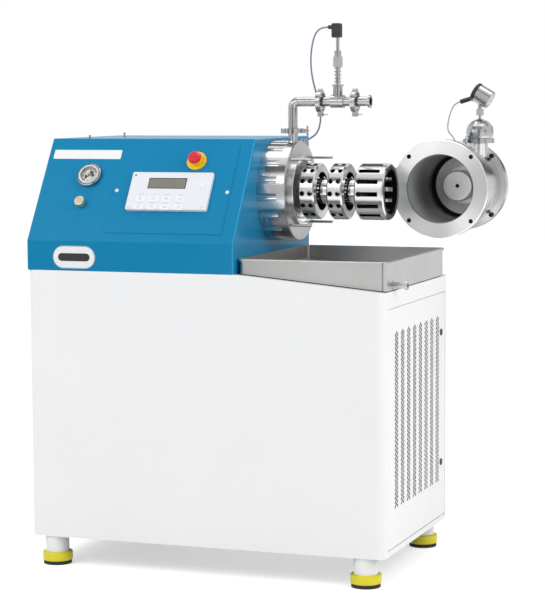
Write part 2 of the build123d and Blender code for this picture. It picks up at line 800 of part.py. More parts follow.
def clamp_band(ring_radius):
    """A two-piece pipe clamp about Z. The bolt and wing nut lie towards +X, and the hinge towards -X."""
    outer = ring_radius + 7
    outline = [(ring_radius + 0.35, -7), (outer, -7), (outer, 7), (ring_radius + 0.35, 7)]
    band = revolve(make_face(Polyline(*[(r, 0, z) for r, z in outline], close=True)), Axis.Z)
    band += block(outer - 3, outer + 12, -10, 10, -6, 6)
    band += rod((-outer - 1, 0, -7), (-outer - 1, 0, 7), 5)
    band -= block(outer - 10, outer + 15, -1.5, 1.5, -8, 8)
    bolt_x = outer + 6
    band += rod((bolt_x, -14, 0), (bolt_x, 24, 0), 3)
    return band


def wing_nut(ring_radius):
    bolt_x = ring_radius + 13
    nut = rod((bolt_x, 10, 0), (bolt_x, 20, 0), 5.5)
    wing = prism_x([(12, 0), (18, 0), (26, 5), (26, 11), (20, 11)], -1.5, 1.5)
    nut += Pos(bolt_x, 0, 4) * wing
    nut += Pos(bolt_x, 0, -4) * mirror(wing, Plane.XY)
    return nut - rod((bolt_x, 9, 0), (bolt_x, 25, 0), 3)


def pipe_clamps():
    places = [clamp_place(riser_x, riser_clamp_z, False), clamp_place(first_clamp_x, pipe_z, True),
              clamp_place(second_clamp_x, pipe_z, True)]
    clamps = []
    for place in places:
        clamps.append(place.location * clamp_band(ferrule_radius))
        clamps.append(place.location * wing_nut(ferrule_radius))
    return Compound(clamps)


def ferrule_x(x, side):
    return rod((x, axis_y, pipe_z), (x + side * ferrule_thickness, axis_y, pipe_z), ferrule_radius)


def product_elbow():
    path = FilletPolyline((riser_x, axis_y, riser_clamp_z), (riser_x, axis_y, pipe_z),
                          (first_clamp_x, axis_y, pipe_z), radius=elbow_radius)
    start = Plane(origin=path @ 0, z_dir=path % 0)
    pipe = sweep(start * Circle(pipe_radius), path=path)
    pipe += rod((riser_x, axis_y, riser_clamp_z), (riser_x, axis_y, riser_clamp_z + ferrule_thickness), ferrule_radius)
    pipe += ferrule_x(first_clamp_x, -1)
    return pipe - sweep(start * Circle(pipe_bore_radius), path=path)


sensor_flange_z = 1413.0


def product_tee():
    tee = rod((first_clamp_x, axis_y, pipe_z), (second_clamp_x, axis_y, pipe_z), pipe_radius)
    tee += rod((sensor_x - 20, axis_y, pipe_z), (sensor_x + 20, axis_y, pipe_z), pipe_radius + 5)
    tee += rod((sensor_x, axis_y, pipe_z), (sensor_x, axis_y, sensor_flange_z), pipe_radius)
    tee += ferrule_x(first_clamp_x, 1)
    tee += ferrule_x(second_clamp_x, -1)
    tee -= rod((first_clamp_x - 1, axis_y, pipe_z), (second_clamp_x + 1, axis_y, pipe_z), pipe_bore_radius)
    return tee - rod((sensor_x, axis_y, pipe_z), (sensor_x, axis_y, sensor_flange_z + 1), pipe_bore_radius)


def product_nozzle():
    nozzle = rod((second_clamp_x, axis_y, pipe_z), (nozzle_end_x, axis_y, pipe_z), pipe_radius)
    nozzle += ferrule_x(second_clamp_x, 1)
    nozzle += rod((nozzle_end_x - 5, axis_y, pipe_z), (nozzle_end_x, axis_y, pipe_z), pipe_radius + 5)
    return nozzle - rod((second_clamp_x - 1, axis_y, pipe_z), (nozzle_end_x + 1, axis_y, pipe_z), pipe_bore_radius)


neck_top = 1469.0
hex_top = 1499.0
collar_top = 1516.0
stem_top = 1554.0
plug_top = 1596.0


def temperature_sensor():
    outline = [(0, sensor_flange_z - 40), (4, sensor_flange_z - 40), (4, sensor_flange_z), (17, sensor_flange_z),
               (17, sensor_flange_z + 5)]
    z = sensor_flange_z + 5
    for rib in range(5):
        outline += [(6.5, z), (6.5, z + 5), (10, z + 5), (10, z + 10)]
        z += 10
    outline += [(6.5, z), (6.5, neck_top), (0, neck_top)]
    sensor = revolve(make_face(Polyline(*[(r, 0, h) for r, h in outline], close=True)), Axis.Z)
    sensor += extrude(Pos(0, 0, neck_top) * RegularPolygon(15, 6), hex_top - neck_top)
    sensor += rod((0, 0, hex_top), (0, 0, collar_top), 10)
    sensor += rod((0, 0, collar_top), (0, 0, stem_top), 5)
    return Pos(sensor_x, axis_y, 0) * sensor


plug_exit_x = 826.0
plug_exit_z = 1585.0


def sensor_plug():
    plug = block(sensor_x - 16, sensor_x + 11, axis_y - 10, axis_y + 10, stem_top, plug_top)
    plug = fillet(plug.edges().filter_by(Axis.Y), 5)
    for z in (stem_top + 6, stem_top + 13):
        plug -= block(sensor_x - 30, sensor_x + 30, axis_y - 30, axis_y - 9, z, z + 3)
    plug += rod((plug_exit_x, axis_y, plug_exit_z), (sensor_x - 12, axis_y, plug_exit_z), 6)
    return plug


def cord(points, radius):
    """A round tube along straight runs joined by arcs as large as the runs allow."""
    route = [Vector(*point) for point in points]
    radii = []
    for before, corner, after in zip(route, route[1:], route[2:]):
        first = corner - before
        second = after - corner
        turn = math.radians(first.get_angle(second))
        radii.append(0.45 * min(first.length, second.length) / math.tan(turn / 2))
    path = FilletPolyline(*points, radius=radii)
    start = Plane(origin=path @ 0, z_dir=path % 0)
    tube_solid = sweep(start * Circle(radius), path=path)
    section = math.pi * radius ** 2
    print("cord length", round(path.length, 1), "smallest radius", round(min(radii), 1),
          "volume share", round(tube_solid.volume / (section * path.length), 4))
    return tube_solid


def place_of(placed_point):
    centre = placed_point.center()
    return (centre.X, centre.Y, centre.Z)


def beyond(root, tip, length):
    """The point past the tip of a gland, along its own line."""
    run = Vector(*tip) - Vector(*root)
    return Vector(*tip) + run.normalized() * length


def on_housing_gland(point):
    return place_of(on_axis(around(Pos(*point) * Sphere(0.5), gland_angle)))


sensor_cable_radius = 2.5


def sensor_cable():
    arriving = on_housing_gland(beyond(gland_arm_root, gland_arm_tip, 14))
    route = [(plug_exit_x, axis_y, plug_exit_z), (808, axis_y, plug_exit_z), (788, 338.5, 1573.5),
             (775, 344.5, 1549), (766.5, 351, 1514), (762.5, 358, 1476), (765, 367.5, 1432), (773, 378.5, 1392),
             (780, 386, 1356), (782.5, 391, 1322), (777, 395, 1291), (765, 398, 1271), arriving,
             on_housing_gland(gland_arm_tip)]
    return cord(route, sensor_cable_radius)


# Carriage that carries the chamber

bar_end_x = pin_x - knuckle_radius


def guide_bar():
    start = bar_end_x - guide_bar_length
    bar = rod((start, guide_bar_y, axis_z), (bar_end_x, guide_bar_y, axis_z), guide_bar_radius)
    keyway_bottom = axis_z + guide_bar_radius - key_depth
    return bar - block(start - 1, bar_end_x - 5, guide_bar_y - key_width / 2, guide_bar_y + key_width / 2,
                       keyway_bottom, keyway_bottom + 20)


def carriage_head():
    top = axis_z + carriage_half_height
    bottom = axis_z - carriage_half_height
    head = block(pin_x - knuckle_radius, pin_x + knuckle_radius, pin_y, guide_bar_y + guide_bar_radius, bottom, top)
    head = fillet(head.edges().filter_by(Axis.Z).group_by(Axis.Y)[-1], 6)
    head += rod((pin_x, pin_y, bottom), (pin_x, pin_y, top), knuckle_radius)
    return head - rod((pin_x, pin_y, bottom - 1), (pin_x, pin_y, top + 1), pin_radius)


def hinge_pin():
    reach = carriage_half_height + free_gap + lug_thickness
    pin = rod((pin_x, pin_y, axis_z - reach - 3), (pin_x, pin_y, axis_z + reach + free_gap), pin_radius)
    head = rod((pin_x, pin_y, axis_z + reach + free_gap), (pin_x, pin_y, axis_z + reach + 6), pin_radius + 3)
    return pin + fillet(head.edges().group_by(Axis.Z)[-1], 2)


# Grinding chamber, drawn about X with its mouth at 0 and then swung open

def swung(shape):
    return Pos(open_x, open_y, axis_z) * Rot(0, 0, 90) * shape


bolt_ring_radius = 129.0
end_bolt_count = 4
port_lateral = -62.0
port_back = 235.0
port_radius = 25.0
port_clamp_radius = 32.0
port_clamp_z = 139.0
gland_foot = Vector(84, -40, 104)
gland_lean = Vector(0.42, 0.45, 0.79).normalized()
chamber_gland_length = 41.0


def chamber_shell():
    body_start = front_flange_thickness
    body_end = chamber_length - rear_flange_thickness
    outline = [(0, chamber_bore_radius), (0, flange_radius - 2), (2, flange_radius), (body_start - 8, flange_radius),
               (body_start, flange_radius - 6), (body_start, chamber_body_radius + 4),
               (body_start + 6, chamber_body_radius), (body_end, chamber_body_radius),
               (body_end, chamber_rear_radius), (chamber_length, chamber_rear_radius),
               (chamber_length, chamber_bore_radius)]
    shell = turned(outline)
    for angle in (45, 135, 225, 315):
        hole = rod((-1, -stud_circle_radius, 0), (front_flange_thickness + 1, -stud_circle_radius, 0),
                   flange_hole_radius)
        shell -= around(hole, angle)
    port_start = math.sqrt(chamber_body_radius ** 2 - port_lateral ** 2) - 14
    shell += rod((port_back, port_lateral, port_start), (port_back, port_lateral, port_clamp_z), port_radius)
    shell += rod((port_back, port_lateral, port_clamp_z - ferrule_thickness), (port_back, port_lateral, port_clamp_z),
                 port_clamp_radius)
    shell -= rod((port_back, port_lateral, 40), (port_back, port_lateral, port_clamp_z + 1), port_radius - 3)
    shell += rod(gland_foot, gland_foot + gland_lean * (chamber_gland_length - 14), 7)
    shell += rod(gland_foot, gland_foot + gland_lean * chamber_gland_length, 4.5)
    shell -= rod((-1, 0, 0), (chamber_length + 1, 0, 0), chamber_bore_radius)
    return swung(shell)


def chamber_liner():
    start = spigot_height + 2
    outer = chamber_bore_radius
    inner = outer - liner_thickness
    liner = turned([(start, inner), (start, outer), (chamber_length, outer), (chamber_length, inner)])
    liner -= rod((port_back, port_lateral, 40), (port_back, port_lateral, 130), port_radius - 3)
    return swung(liner)


def chamber_end_plate():
    start = chamber_length
    end = chamber_length + end_plate_thickness
    plate = turned([(start, 0), (start, chamber_rear_radius), (end - 2, chamber_rear_radius),
                    (end, chamber_rear_radius - 2), (end, 0)])
    outlet_end = end + outlet_reach
    plate += rod((end, 0, 0), (outlet_end, 0, 0), pipe_radius)
    plate += rod((outlet_end - ferrule_thickness, 0, 0), (outlet_end, 0, 0), ferrule_radius)
    plate -= rod((start - 1, 0, 0), (outlet_end + 1, 0, 0), pipe_bore_radius)
    for step in range(end_bolt_count):
        hole = rod((start - 1, -bolt_ring_radius, 0), (end + 1, -bolt_ring_radius, 0), 5)
        plate -= around(hole, 45 + step * 360 / end_bolt_count)
    return swung(plate)


def end_plate_bolts():
    bolts = []
    back = chamber_length + end_plate_thickness
    front = chamber_length - rear_flange_thickness
    for step in range(end_bolt_count):
        bolt = rod((chamber_length, -bolt_ring_radius, 0), (back, -bolt_ring_radius, 0), 5)
        bolt += rod((back, -bolt_ring_radius, 0), (back + 8, -bolt_ring_radius, 0), 8)
        bolts.append(swung(around(bolt, 45 + step * 360 / end_bolt_count)))
        nut = extrude(Plane.YZ * Pos(-bolt_ring_radius, 0, 0) * RegularPolygon(8, 6), -8)
        bolts.append(swung(around(Pos(front, 0, 0) * nut, 45 + step * 360 / end_bolt_count)))
    return Compound(bolts)


def screen_cartridge():
    end = chamber_length
    start = end - screen_length
    foot = end - screen_foot_thickness
    outline = [(start, 0), (start, screen_radius - 2), (start + 2, screen_radius), (foot, screen_radius),
               (foot, screen_foot_radius), (end, screen_foot_radius), (end, 0)]
    screen = turned(outline)
    screen -= rod((start - 1, 0, 0), (end + 1, 0, 0), screen_bore_radius)
    return swung(screen)


def chamber_lugs():
    lugs = []
    for side in (1, -1):
        near = side * (carriage_half_height + free_gap)
        far = near + side * lug_thickness
        low = min(near, far)
        high = max(near, far)
        lug = block(-pin_setback, front_flange_thickness - 8, pin_offset, pin_offset + knuckle_radius, low, high)
        lug += block(4, front_flange_thickness - 8, 120, pin_offset + 2, low, high)
        lug += rod((-pin_setback, pin_offset, low), (-pin_setback, pin_offset, high), knuckle_radius)
        lug -= rod((-pin_setback, pin_offset, low - 1), (-pin_setback, pin_offset, high + 1), pin_radius + running_gap)
        lug -= rod((-1, 0, 0), (front_flange_thickness, 0, 0), flange_radius)
        lugs.append(swung(lug))
    return Compound(lugs)


def port_clamp():
    band = clamp_band(port_clamp_radius)
    nut = wing_nut(port_clamp_radius)
    place = Pos(open_x - port_lateral, open_y + port_back, axis_z + port_clamp_z) * Rot(0, 0, 200)
    return Compound([place * band, place * nut])


dome_top = 78.0
hexagon_height = 20.0
gauge_stem_length = 8.2


def diaphragm_seal():
    z = port_clamp_z
    dome = [(38, z + 8), (41.5, z + 16), (42.5, z + 26), (41.5, z + 36), (38, z + 45), (32, z + 53), (24, z + 60),
            (14, z + 65), (4.5, z + 67.5)]
    outline = [(0, z), (port_clamp_radius, z), (port_clamp_radius, z + ferrule_thickness), (29, z + 8)] + dome
    outline += [(4.5, z + dome_top), (0, z + dome_top)]
    seal = revolve(make_face(Polyline(*[(r, 0, h) for r, h in outline], close=True)), Axis.Z)
    seal += extrude(Pos(0, 0, z + dome_top) * RegularPolygon(12, 6), hexagon_height)
    return Pos(open_x - port_lateral, open_y + port_back, axis_z) * seal


pressure_case_radius = 29.0
pressure_case_tilt = 30.0
pressure_case_depth = 46.0
pressure_case_shift = 13.0
hexagon_top = axis_z + port_clamp_z + dome_top + hexagon_height
gauge_gland_root = (-30, 0, -22)
gauge_gland_tip = (-57, 0, -50.7)


def on_pressure_gauge(shape):
    """Places a shape drawn about X, with X from the back of the gauge to its dial."""
    height = hexagon_top + gauge_stem_length + pressure_case_radius
    place = Pos(open_x - port_lateral + pressure_case_shift, open_y + port_back, height)
    return place * Rot(0, pressure_case_tilt, 0) * shape


def pressure_gauge_case():
    half = pressure_case_depth / 2
    rim = pressure_case_radius
    outline = [(-half, 0), (-half, rim), (half - 1, rim), (half, rim - 1), (half, rim - 4), (half - 6, rim - 4),
               (half - 6, 0)]
    case = turned(outline)
    case = on_pressure_gauge(case - rod((half - 9, 0, 0), (half, 0, 0), 1.6))
    x = open_x - port_lateral
    y = open_y + port_back
    return case + rod((x, y, hexagon_top), (x, y, hexagon_top + gauge_stem_length + 14), 6)


def pressure_gauge_back():
    half = pressure_case_depth / 2
    rim = pressure_case_radius
    outline = [(-half - 13, 0), (-half - 13, rim - 5), (-half - 9, rim + 1), (-half, rim + 1), (-half, 0)]
    cover = turned(outline)
    cover += rod(gauge_gland_root, gauge_gland_tip, 7)
    return on_pressure_gauge(cover)


def pressure_needle():
    hand = Rot(0, 90, 0) * Rot(0, 0, 135) * needle(20, pressure_case_depth / 2 - 4.6)
    return on_pressure_gauge(hand)


gauge_cable_radius = 2.0


def on_gauge_gland(point):
    return place_of(on_pressure_gauge(Pos(*point) * Sphere(0.5)))


def gauge_cable():
    tip = gland_foot + gland_lean * chamber_gland_length
    arriving = place_of(swung(Pos(*beyond(gland_foot, tip, 14)) * Sphere(0.5)))
    route = [on_gauge_gland(gauge_gland_tip), on_gauge_gland(beyond(gauge_gland_root, gauge_gland_tip, 13)),
             (1080.2, 787, 1350.5), (1075.5, 776, 1333.5), (1075, 758, 1315), (1077.5, 736, 1297.5), (1083, 714, 1282),
             (1093, 693, 1270), (1106, 677, 1262), arriving, place_of(swung(Pos(*tip) * Sphere(0.5)))]
    return cord(route, gauge_cable_radius)


# Rotor

def main_shaft():
    end = face_x + cage_start + 1
    return axis_rod(pulley_x - 8, end, shaft_radius)


def radial_holes(shape, x, radius, depth):
    for step in range(hole_count):
        hole = rod((x, -rotor_radius - 5, 0), (x, -rotor_radius + depth, 0), radius)
        shape -= around(hole, hole_phase + step * 360 / hole_count)
    return shape


def rotor_disc(start):
    end = start + disc_width
    wall = disc_wall
    bevel = 4.0
    outline = [(start, shaft_radius + running_gap), (start, rotor_radius - bevel), (start + bevel, rotor_radius),
               (end - bevel, rotor_radius), (end, rotor_radius - bevel), (end, disc_opening_radius),
               (end - wall, disc_opening_radius), (end - wall, rotor_bore_radius), (start + wall, rotor_bore_radius),
               (start + wall, hub_radius), (end, hub_radius), (end, shaft_radius + running_gap)]
    disc = turned(outline)
    middle = (start + end) / 2
    for x in (middle - hole_row_pitch / 2, middle + hole_row_pitch / 2):
        disc = radial_holes(disc, x, hole_radius, rotor_radius - rotor_bore_radius + 8)
    return on_axis(disc)


def rotor_spacers():
    ends = [face_x - recess_depth + 2, back_x, back_x + disc_width, back_x + disc_pitch,
            back_x + disc_pitch + disc_width, face_x + cage_start]
    rings = []
    for start, end in zip(ends[::2], ends[1::2]):
        ring = axis_rod(start, end, hub_radius) - axis_rod(start - 1, end + 1, shaft_radius + running_gap)
        rings.append(ring)
    return Compound(rings)


def cage_rotor():
    start = face_x + cage_start
    end = start + cage_length
    bevel = 4.0
    outline = [(start, 0), (start, rotor_radius - bevel), (start + bevel, rotor_radius), (end - bevel, rotor_radius),
               (end, rotor_radius - bevel), (end, rotor_bore_radius - 4), (end - 8, rotor_bore_radius - 4),
               (end - 8, rotor_bore_radius), (start + cage_wall, rotor_bore_radius), (start + cage_wall, 0)]
    cage = turned(outline)
    cage = radial_holes(cage, start + cage_hole_inset, hole_radius, rotor_radius - rotor_bore_radius + 8)
    slot_end = end - slot_end_inset
    slot_start = slot_end - slot_length
    for step in range(hole_count):
        slot = block(slot_start, slot_end, -rotor_radius - 5, -rotor_bore_radius + 8, -slot_width / 2, slot_width / 2)
        cage -= around(slot, hole_phase + step * 360 / hole_count)
    cage -= rod((start - 1, 0, 0), (start + 1 + running_gap, 0, 0), shaft_radius + running_gap)
    return on_axis(cage)


def save_all():
    save(cabinet_shell(), "cabinet_shell")
    save(rear_cover(), "rear_cover")
    save(base_frame(), "base_frame")
    stems, rings, pads = feet()
    save(stems, "foot_stems")
    save(rings, "foot_rings")
    save(pads, "foot_pads")
    save(side_door(), "side_door")
    save(door_frame(), "door_frame")
    save(door_lock(lock_heights[0]), "lower_lock")
    save(door_lock(lock_heights[1]), "upper_lock")
    save(hood_shell(), "hood_shell")
    save(control_plate(), "control_plate")
    save(display_panel(), "display_panel")
    save(estop_base(), "estop_base")
    save(estop_button(), "estop_button")
    save(air_gauge(), "air_gauge")
    save(air_needle(), "air_needle")
    save(regulator_body(), "regulator_body")
    save(regulator_knob(), "regulator_knob")
    save(tray_gasket(), "tray_gasket")
    save(drip_tray(), "drip_tray")
    save(bearing_housing(), "bearing_housing")
    save(seal_carrier(), "seal_carrier")
    save(shaft_seal(), "shaft_seal")
    save(chamber_studs(), "chamber_studs")
    save(bearing_unit(), "bearing_unit")
    save(shaft_bearings(), "shaft_bearings")
    save(guide_pedestal(), "guide_pedestal")
    save(drive_belts(), "drive_belts")
    save(driven_pulley(), "driven_pulley")
    save(motor_pulley(), "motor_pulley")
    save(drive_motor(), "drive_motor")
    save(electrics_box(), "electrics_box")
    save(pipe_clamps(), "pipe_clamps")
    save(product_elbow(), "product_elbow")
    save(product_tee(), "product_tee")
    save(product_nozzle(), "product_nozzle")
    save(temperature_sensor(), "temperature_sensor")
    save(sensor_plug(), "sensor_plug")
    save(sensor_cable(), "sensor_cable")
    save(guide_bar(), "guide_bar")
    save(carriage_head(), "carriage_head")
    save(hinge_pin(), "hinge_pin")
    save(chamber_shell(), "chamber_shell")
    save(chamber_liner(), "chamber_liner")
    save(chamber_end_plate(), "chamber_end_plate")
    save(end_plate_bolts(), "end_plate_bolts")
    save(screen_cartridge(), "screen_cartridge")
    save(chamber_lugs(), "chamber_lugs")
    save(port_clamp(), "port_clamp")
    save(diaphragm_seal(), "diaphragm_seal")
    save(pressure_gauge_case(), "pressure_gauge_case")
    save(pressure_gauge_back(), "pressure_gauge_back")
    save(pressure_needle(), "pressure_needle")
    save(gauge_cable(), "gauge_cable")
    save(main_shaft(), "main_shaft")
    save(rotor_disc(back_x), "inner_rotor_disc")
    save(rotor_disc(back_x + disc_pitch), "outer_rotor_disc")
    save(rotor_spacers(), "rotor_spacers")
    save(cage_rotor(), "cage_rotor")


os.makedirs("parts", exist_ok=True)
save_all()
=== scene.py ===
import bmesh
import bpy
import math
from mathutils import Euler, Matrix, Vector
from mathutils.geometry import delaunay_2d_cdt


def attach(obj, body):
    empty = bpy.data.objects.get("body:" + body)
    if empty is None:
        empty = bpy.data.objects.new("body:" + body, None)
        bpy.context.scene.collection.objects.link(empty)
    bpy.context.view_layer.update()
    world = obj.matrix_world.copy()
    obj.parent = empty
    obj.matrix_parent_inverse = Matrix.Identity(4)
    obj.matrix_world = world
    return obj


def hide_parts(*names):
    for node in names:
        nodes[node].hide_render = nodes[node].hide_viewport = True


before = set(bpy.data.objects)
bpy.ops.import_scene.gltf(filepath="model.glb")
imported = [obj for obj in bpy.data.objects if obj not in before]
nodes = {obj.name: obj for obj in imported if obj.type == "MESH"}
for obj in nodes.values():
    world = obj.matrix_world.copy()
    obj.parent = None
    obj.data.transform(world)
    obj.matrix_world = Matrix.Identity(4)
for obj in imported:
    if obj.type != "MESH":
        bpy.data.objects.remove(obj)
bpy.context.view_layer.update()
print("frame loaded:", len(nodes), "nodes")

# All sizes below are millimetres, measured from the floor under the cabinet's front left corner.
frameOrigin = Vector((625.15, 435.0, 0.0))
millimetre = 0.001


def place(x, y, z):
    return (Vector((x, y, z)) - frameOrigin) * millimetre


def frameAt(point, zDir, xDir=(1, 0, 0)):
    # A small workbench: local millimetres, with its own Z and its own X.
    z = Vector(zDir).normalized()
    x = Vector(xDir).normalized()
    x = (x - z * x.dot(z)).normalized()
    y = z.cross(x)
    turn = Matrix((x, y, z)).transposed().to_4x4()
    return Matrix.Translation(place(*point)) @ turn @ Matrix.Scale(millimetre, 4)


def newObject(name, data):
    thing = bpy.data.objects.new(name, data)
    bpy.context.scene.collection.objects.link(thing)
    return thing


# Camera

camera = {
    "place": (2831.28, -5606.82, 1392.53),
    "heading": 20.185,
    "tiltDown": 5.551,
    "roll": -0.308,
    "lens": 127.5,
}


def addCamera():
    data = bpy.data.cameras.new("camera")
    data.lens = camera["lens"]
    data.sensor_width = 36
    data.clip_start = 0.1
    data.clip_end = 60
    eye = newObject("camera", data)
    turn = Euler((math.radians(90 - camera["tiltDown"]), 0, math.radians(camera["heading"]))).to_matrix()
    roll = Matrix.Rotation(math.radians(camera["roll"]), 3, "Z")
    eye.matrix_world = Matrix.Translation(place(*camera["place"])) @ (turn @ roll).to_4x4()
    bpy.context.scene.camera = eye


addCamera()
print("camera set")


# Materials

housingAxis = (739, 336, 1105)
chamberAxis = (1102.3, 556, 1105)    # starts at the chamber's mouth
facing = 0.6                         # cosine above which a surface counts as facing an axis
# A painted highlight along the hood's right-hand fold: where it lies, how wide it is, and its colour.
hoodFoldHighlight = {"x": 652.0, "width": 4.5, "colour": "#62b3d6"}

# Painted shade in the rotor's hollow and holes lies outside the hub, up to a radius in the hollow and in the
# holes, and as far from the end faces as each margin says.
rotorHollowShade = {
    "hub": 39.0,
    "hollow": 70.5,
    "hollowMargin": 0.6,
    "holes": 82.1,
    "holesMargin": 4.3,
    "darkest": "#0c0c0d",
    "roughness": 0.5,
}
# Painted shade at the bottom of the liner's bore: where it starts, where it is full, how ragged its edge is, and
# its colour.
linerDepthShade = {"start": 238.0, "full": 252.0, "ragged": 30.0, "colour": "#0d0d0e"}  # from the chamber's mouth


def toLinear(hexColour):
    channels = []
    for start in (1, 3, 5):
        value = int(hexColour[start:start + 2], 16) / 255
        channels.append(value / 12.92 if value <= 0.04045 else ((value + 0.055) / 1.055) ** 2.4)
    return (*channels, 1.0)


def addNode(tree, kind, settings=None, links=None):
    node = tree.nodes.new(kind)
    for name, value in (settings or {}).items():
        if isinstance(name, int) or name in node.inputs:
            node.inputs[name].default_value = value
        else:
            setattr(node, name, value)
    for name, source in (links or {}).items():
        tree.links.new(source, node.inputs[name])
    return node


def maths(tree, operation, *values):
    # A maths node's result. Each value is a number or another node's output.
    node = addNode(tree, "ShaderNodeMath", {"operation": operation})
    for socket, value in zip(node.inputs, values):
        if isinstance(value, (int, float)):
            socket.default_value = value
        else:
            tree.links.new(value, socket)
    return node.outputs[0]


def perMetre(size):
    return 1 / (size * millimetre)


def newMaterial(name, settings):
    material = bpy.data.materials.new(name)
    material.use_nodes = True
    tree = material.node_tree
    shader = tree.nodes["Principled BSDF"]
    for socket, value in settings.items():
        shader.inputs[socket].default_value = value
    return material, tree, shader


def objectPoint(tree):
    return addNode(tree, "ShaderNodeTexCoord").outputs["Object"]


def mixColours(tree, factor, first, second):
    # Each colour is a hex colour or another node's output. A Mix node has its colours at 6 and 7, out at 2.
    mix = addNode(tree, "ShaderNodeMix", {"data_type": "RGBA"}, {"Factor": factor})
    for socket, colour in ((mix.inputs[6], first), (mix.inputs[7], second)):
        if isinstance(colour, str):
            socket.default_value = toLinear(colour)
        else:
            tree.links.new(colour, socket)
    return mix.outputs[2]


def mottle(tree, shader, colour, darker, drift, point):
    # A slow drift between two near colours, as real coats and castings have.
    noise = addNode(tree, "ShaderNodeTexNoise", {"Scale": perMetre(drift), "Detail": 3.0}, {"Vector": point})
    tree.links.new(mixColours(tree, noise.outputs["Fac"], colour, darker), shader.inputs["Base Color"])


def overlay(tree, shader, colour, factor):
    # Lays a colour over the one that the shader has so far.
    under = shader.inputs["Base Color"].links[0].from_socket
    tree.links.new(mixColours(tree, factor, under, colour), shader.inputs["Base Color"])


def grainBump(tree, shader, grain, depth, point, detail=2.0):
    noise = addNode(tree, "ShaderNodeTexNoise", {"Scale": perMetre(grain), "Detail": detail}, {"Vector": point})
    bump = addNode(tree, "ShaderNodeBump", {"Strength": 0.5, "Distance": depth * millimetre},
                   {"Height": noise.outputs["Fac"]})
    tree.links.new(bump.outputs["Normal"], shader.inputs["Normal"])


def grained(name, settings, colour, darker, drift, grain, depth):
    # Two near colours over a fine relief. The drift, the grain and its depth are in millimetres.
    material, tree, shader = newMaterial(name, settings)
    point = objectPoint(tree)
    mottle(tree, shader, colour, darker, drift, point)
    grainBump(tree, shader, grain, depth, point)
    return material


def powderCoat(name, colour, darker, roughness, gloss):
    # Powder coat: a soft sheen over a fine orange peel, 3 mm from crest to crest.
    settings = {"Roughness": roughness, "IOR": 1.5, "Specular IOR Level": gloss}
    return grained(name, settings, colour, darker, 240, 3, 0.02)


def paintFoldHighlight(material, fold):
    # A painted highlight: a lighter blue band along the hood's rounded right-hand fold, where the edge would
    # catch the light.
    tree = material.node_tree
    shader = tree.nodes["Principled BSDF"]
    shader.inputs["Coat Weight"].default_value = 0.2
    shader.inputs["Coat Roughness"].default_value = 0.15
    coordinates = addNode(tree, "ShaderNodeTexCoord").outputs
    at = addNode(tree, "ShaderNodeSeparateXYZ", None, {"Vector": coordinates["Object"]}).outputs["X"]
    normal = addNode(tree, "ShaderNodeSeparateXYZ", None, {"Vector": coordinates["Normal"]}).outputs["X"]
    start = place(fold["x"] - fold["width"], 0, 0).x
    end = place(fold["x"] - fold["width"] / 3, 0, 0).x
    nearFold = addNode(tree, "ShaderNodeMapRange", {"From Min": start, "From Max": end}, {"Value": at})
    onFront = maths(tree, "LESS_THAN", normal, facing)
    overlay(tree, shader, fold["colour"], maths(tree, "MULTIPLY", nearFold.outputs["Result"], onFront))


def mouldedPlastic(name, colour, darker, roughness, grain=0.8):
    # Injection-moulded ABS or nylon: a fine spark-eroded grain, drawn at 0.8 mm so that it shows.
    return grained(name, {"Roughness": roughness, "IOR": 1.53}, colour, darker, 30, grain, 0.03)


def rubber(name):
    # Moulded nitrile rubber: nearly black, and dull where it has been rubbed.
    return grained(name, {"Roughness": 0.7, "IOR": 1.52}, "#1a1b1c", "#242526", 25, 1.2, 0.05)


def brushedSteel(name, colour, darker, roughness, along):
    # Brushed stainless sheet: hairlines along one way, 0.6 mm apart so that they show, and a worn haze.
    material, tree, shader = newMaterial(name, {"Metallic": 1.0, "Roughness": roughness})
    point = objectPoint(tree)
    stretch = [1.0, 1.0, 1.0]
    stretch["XYZ".index(along)] = 0.02
    lines = addNode(tree, "ShaderNodeVectorMath", {"operation": "MULTIPLY", 1: stretch}, {0: point})
    mottle(tree, shader, colour, darker, 90, point)
    grainBump(tree, shader, 0.6, 0.012, lines.outputs[0], 4.0)
    return material


def unitAlong(letter):
    return [1.0 if letter == other else 0.0 for other in "XYZ"]


def fromAxis(tree, point, along, centre):
    # How far a point lies out from an axis, how far along it, and the way out, all in metres.
    axis = unitAlong(along)
    offset = addNode(tree, "ShaderNodeVectorMath", {"operation": "SUBTRACT", 1: place(*centre)}, {0: point})
    across = addNode(tree, "ShaderNodeVectorMath", {"operation": "MULTIPLY", 1: [1.0 - part for part in axis]},
                     {0: offset.outputs[0]})
    radius = addNode(tree, "ShaderNodeVectorMath", {"operation": "LENGTH"}, {0: across.outputs[0]})
    depth = addNode(tree, "ShaderNodeVectorMath", {"operation": "DOT_PRODUCT", 1: axis}, {0: offset.outputs[0]})
    return radius.outputs["Value"], depth.outputs["Value"], across.outputs[0]


def finerCutAndPaintedShade(tree, shader, along, barrel):
    # The finishing cut on the barrel is finer than on the faces, so the barrel reflects more clearly. The barrel
    # also gets a colour of its own, which is painted shade: the housing's faces and the chamber's barrel come out
    # darker than the rest.
    colour, roughness = barrel
    normal = addNode(tree, "ShaderNodeTexCoord").outputs["Normal"]
    towardAxis = addNode(tree, "ShaderNodeVectorMath", {"operation": "DOT_PRODUCT", 1: unitAlong(along)},
                         {0: normal})
    onBarrel = maths(tree, "LESS_THAN", maths(tree, "ABSOLUTE", towardAxis.outputs["Value"]), facing)
    overlay(tree, shader, colour, onBarrel)
    faceRoughness = shader.inputs["Roughness"].default_value
    cut = addNode(tree, "ShaderNodeMapRange", {"To Min": faceRoughness, "To Max": roughness}, {"Value": onBarrel})
    tree.links.new(cut.outputs["Result"], shader.inputs["Roughness"])


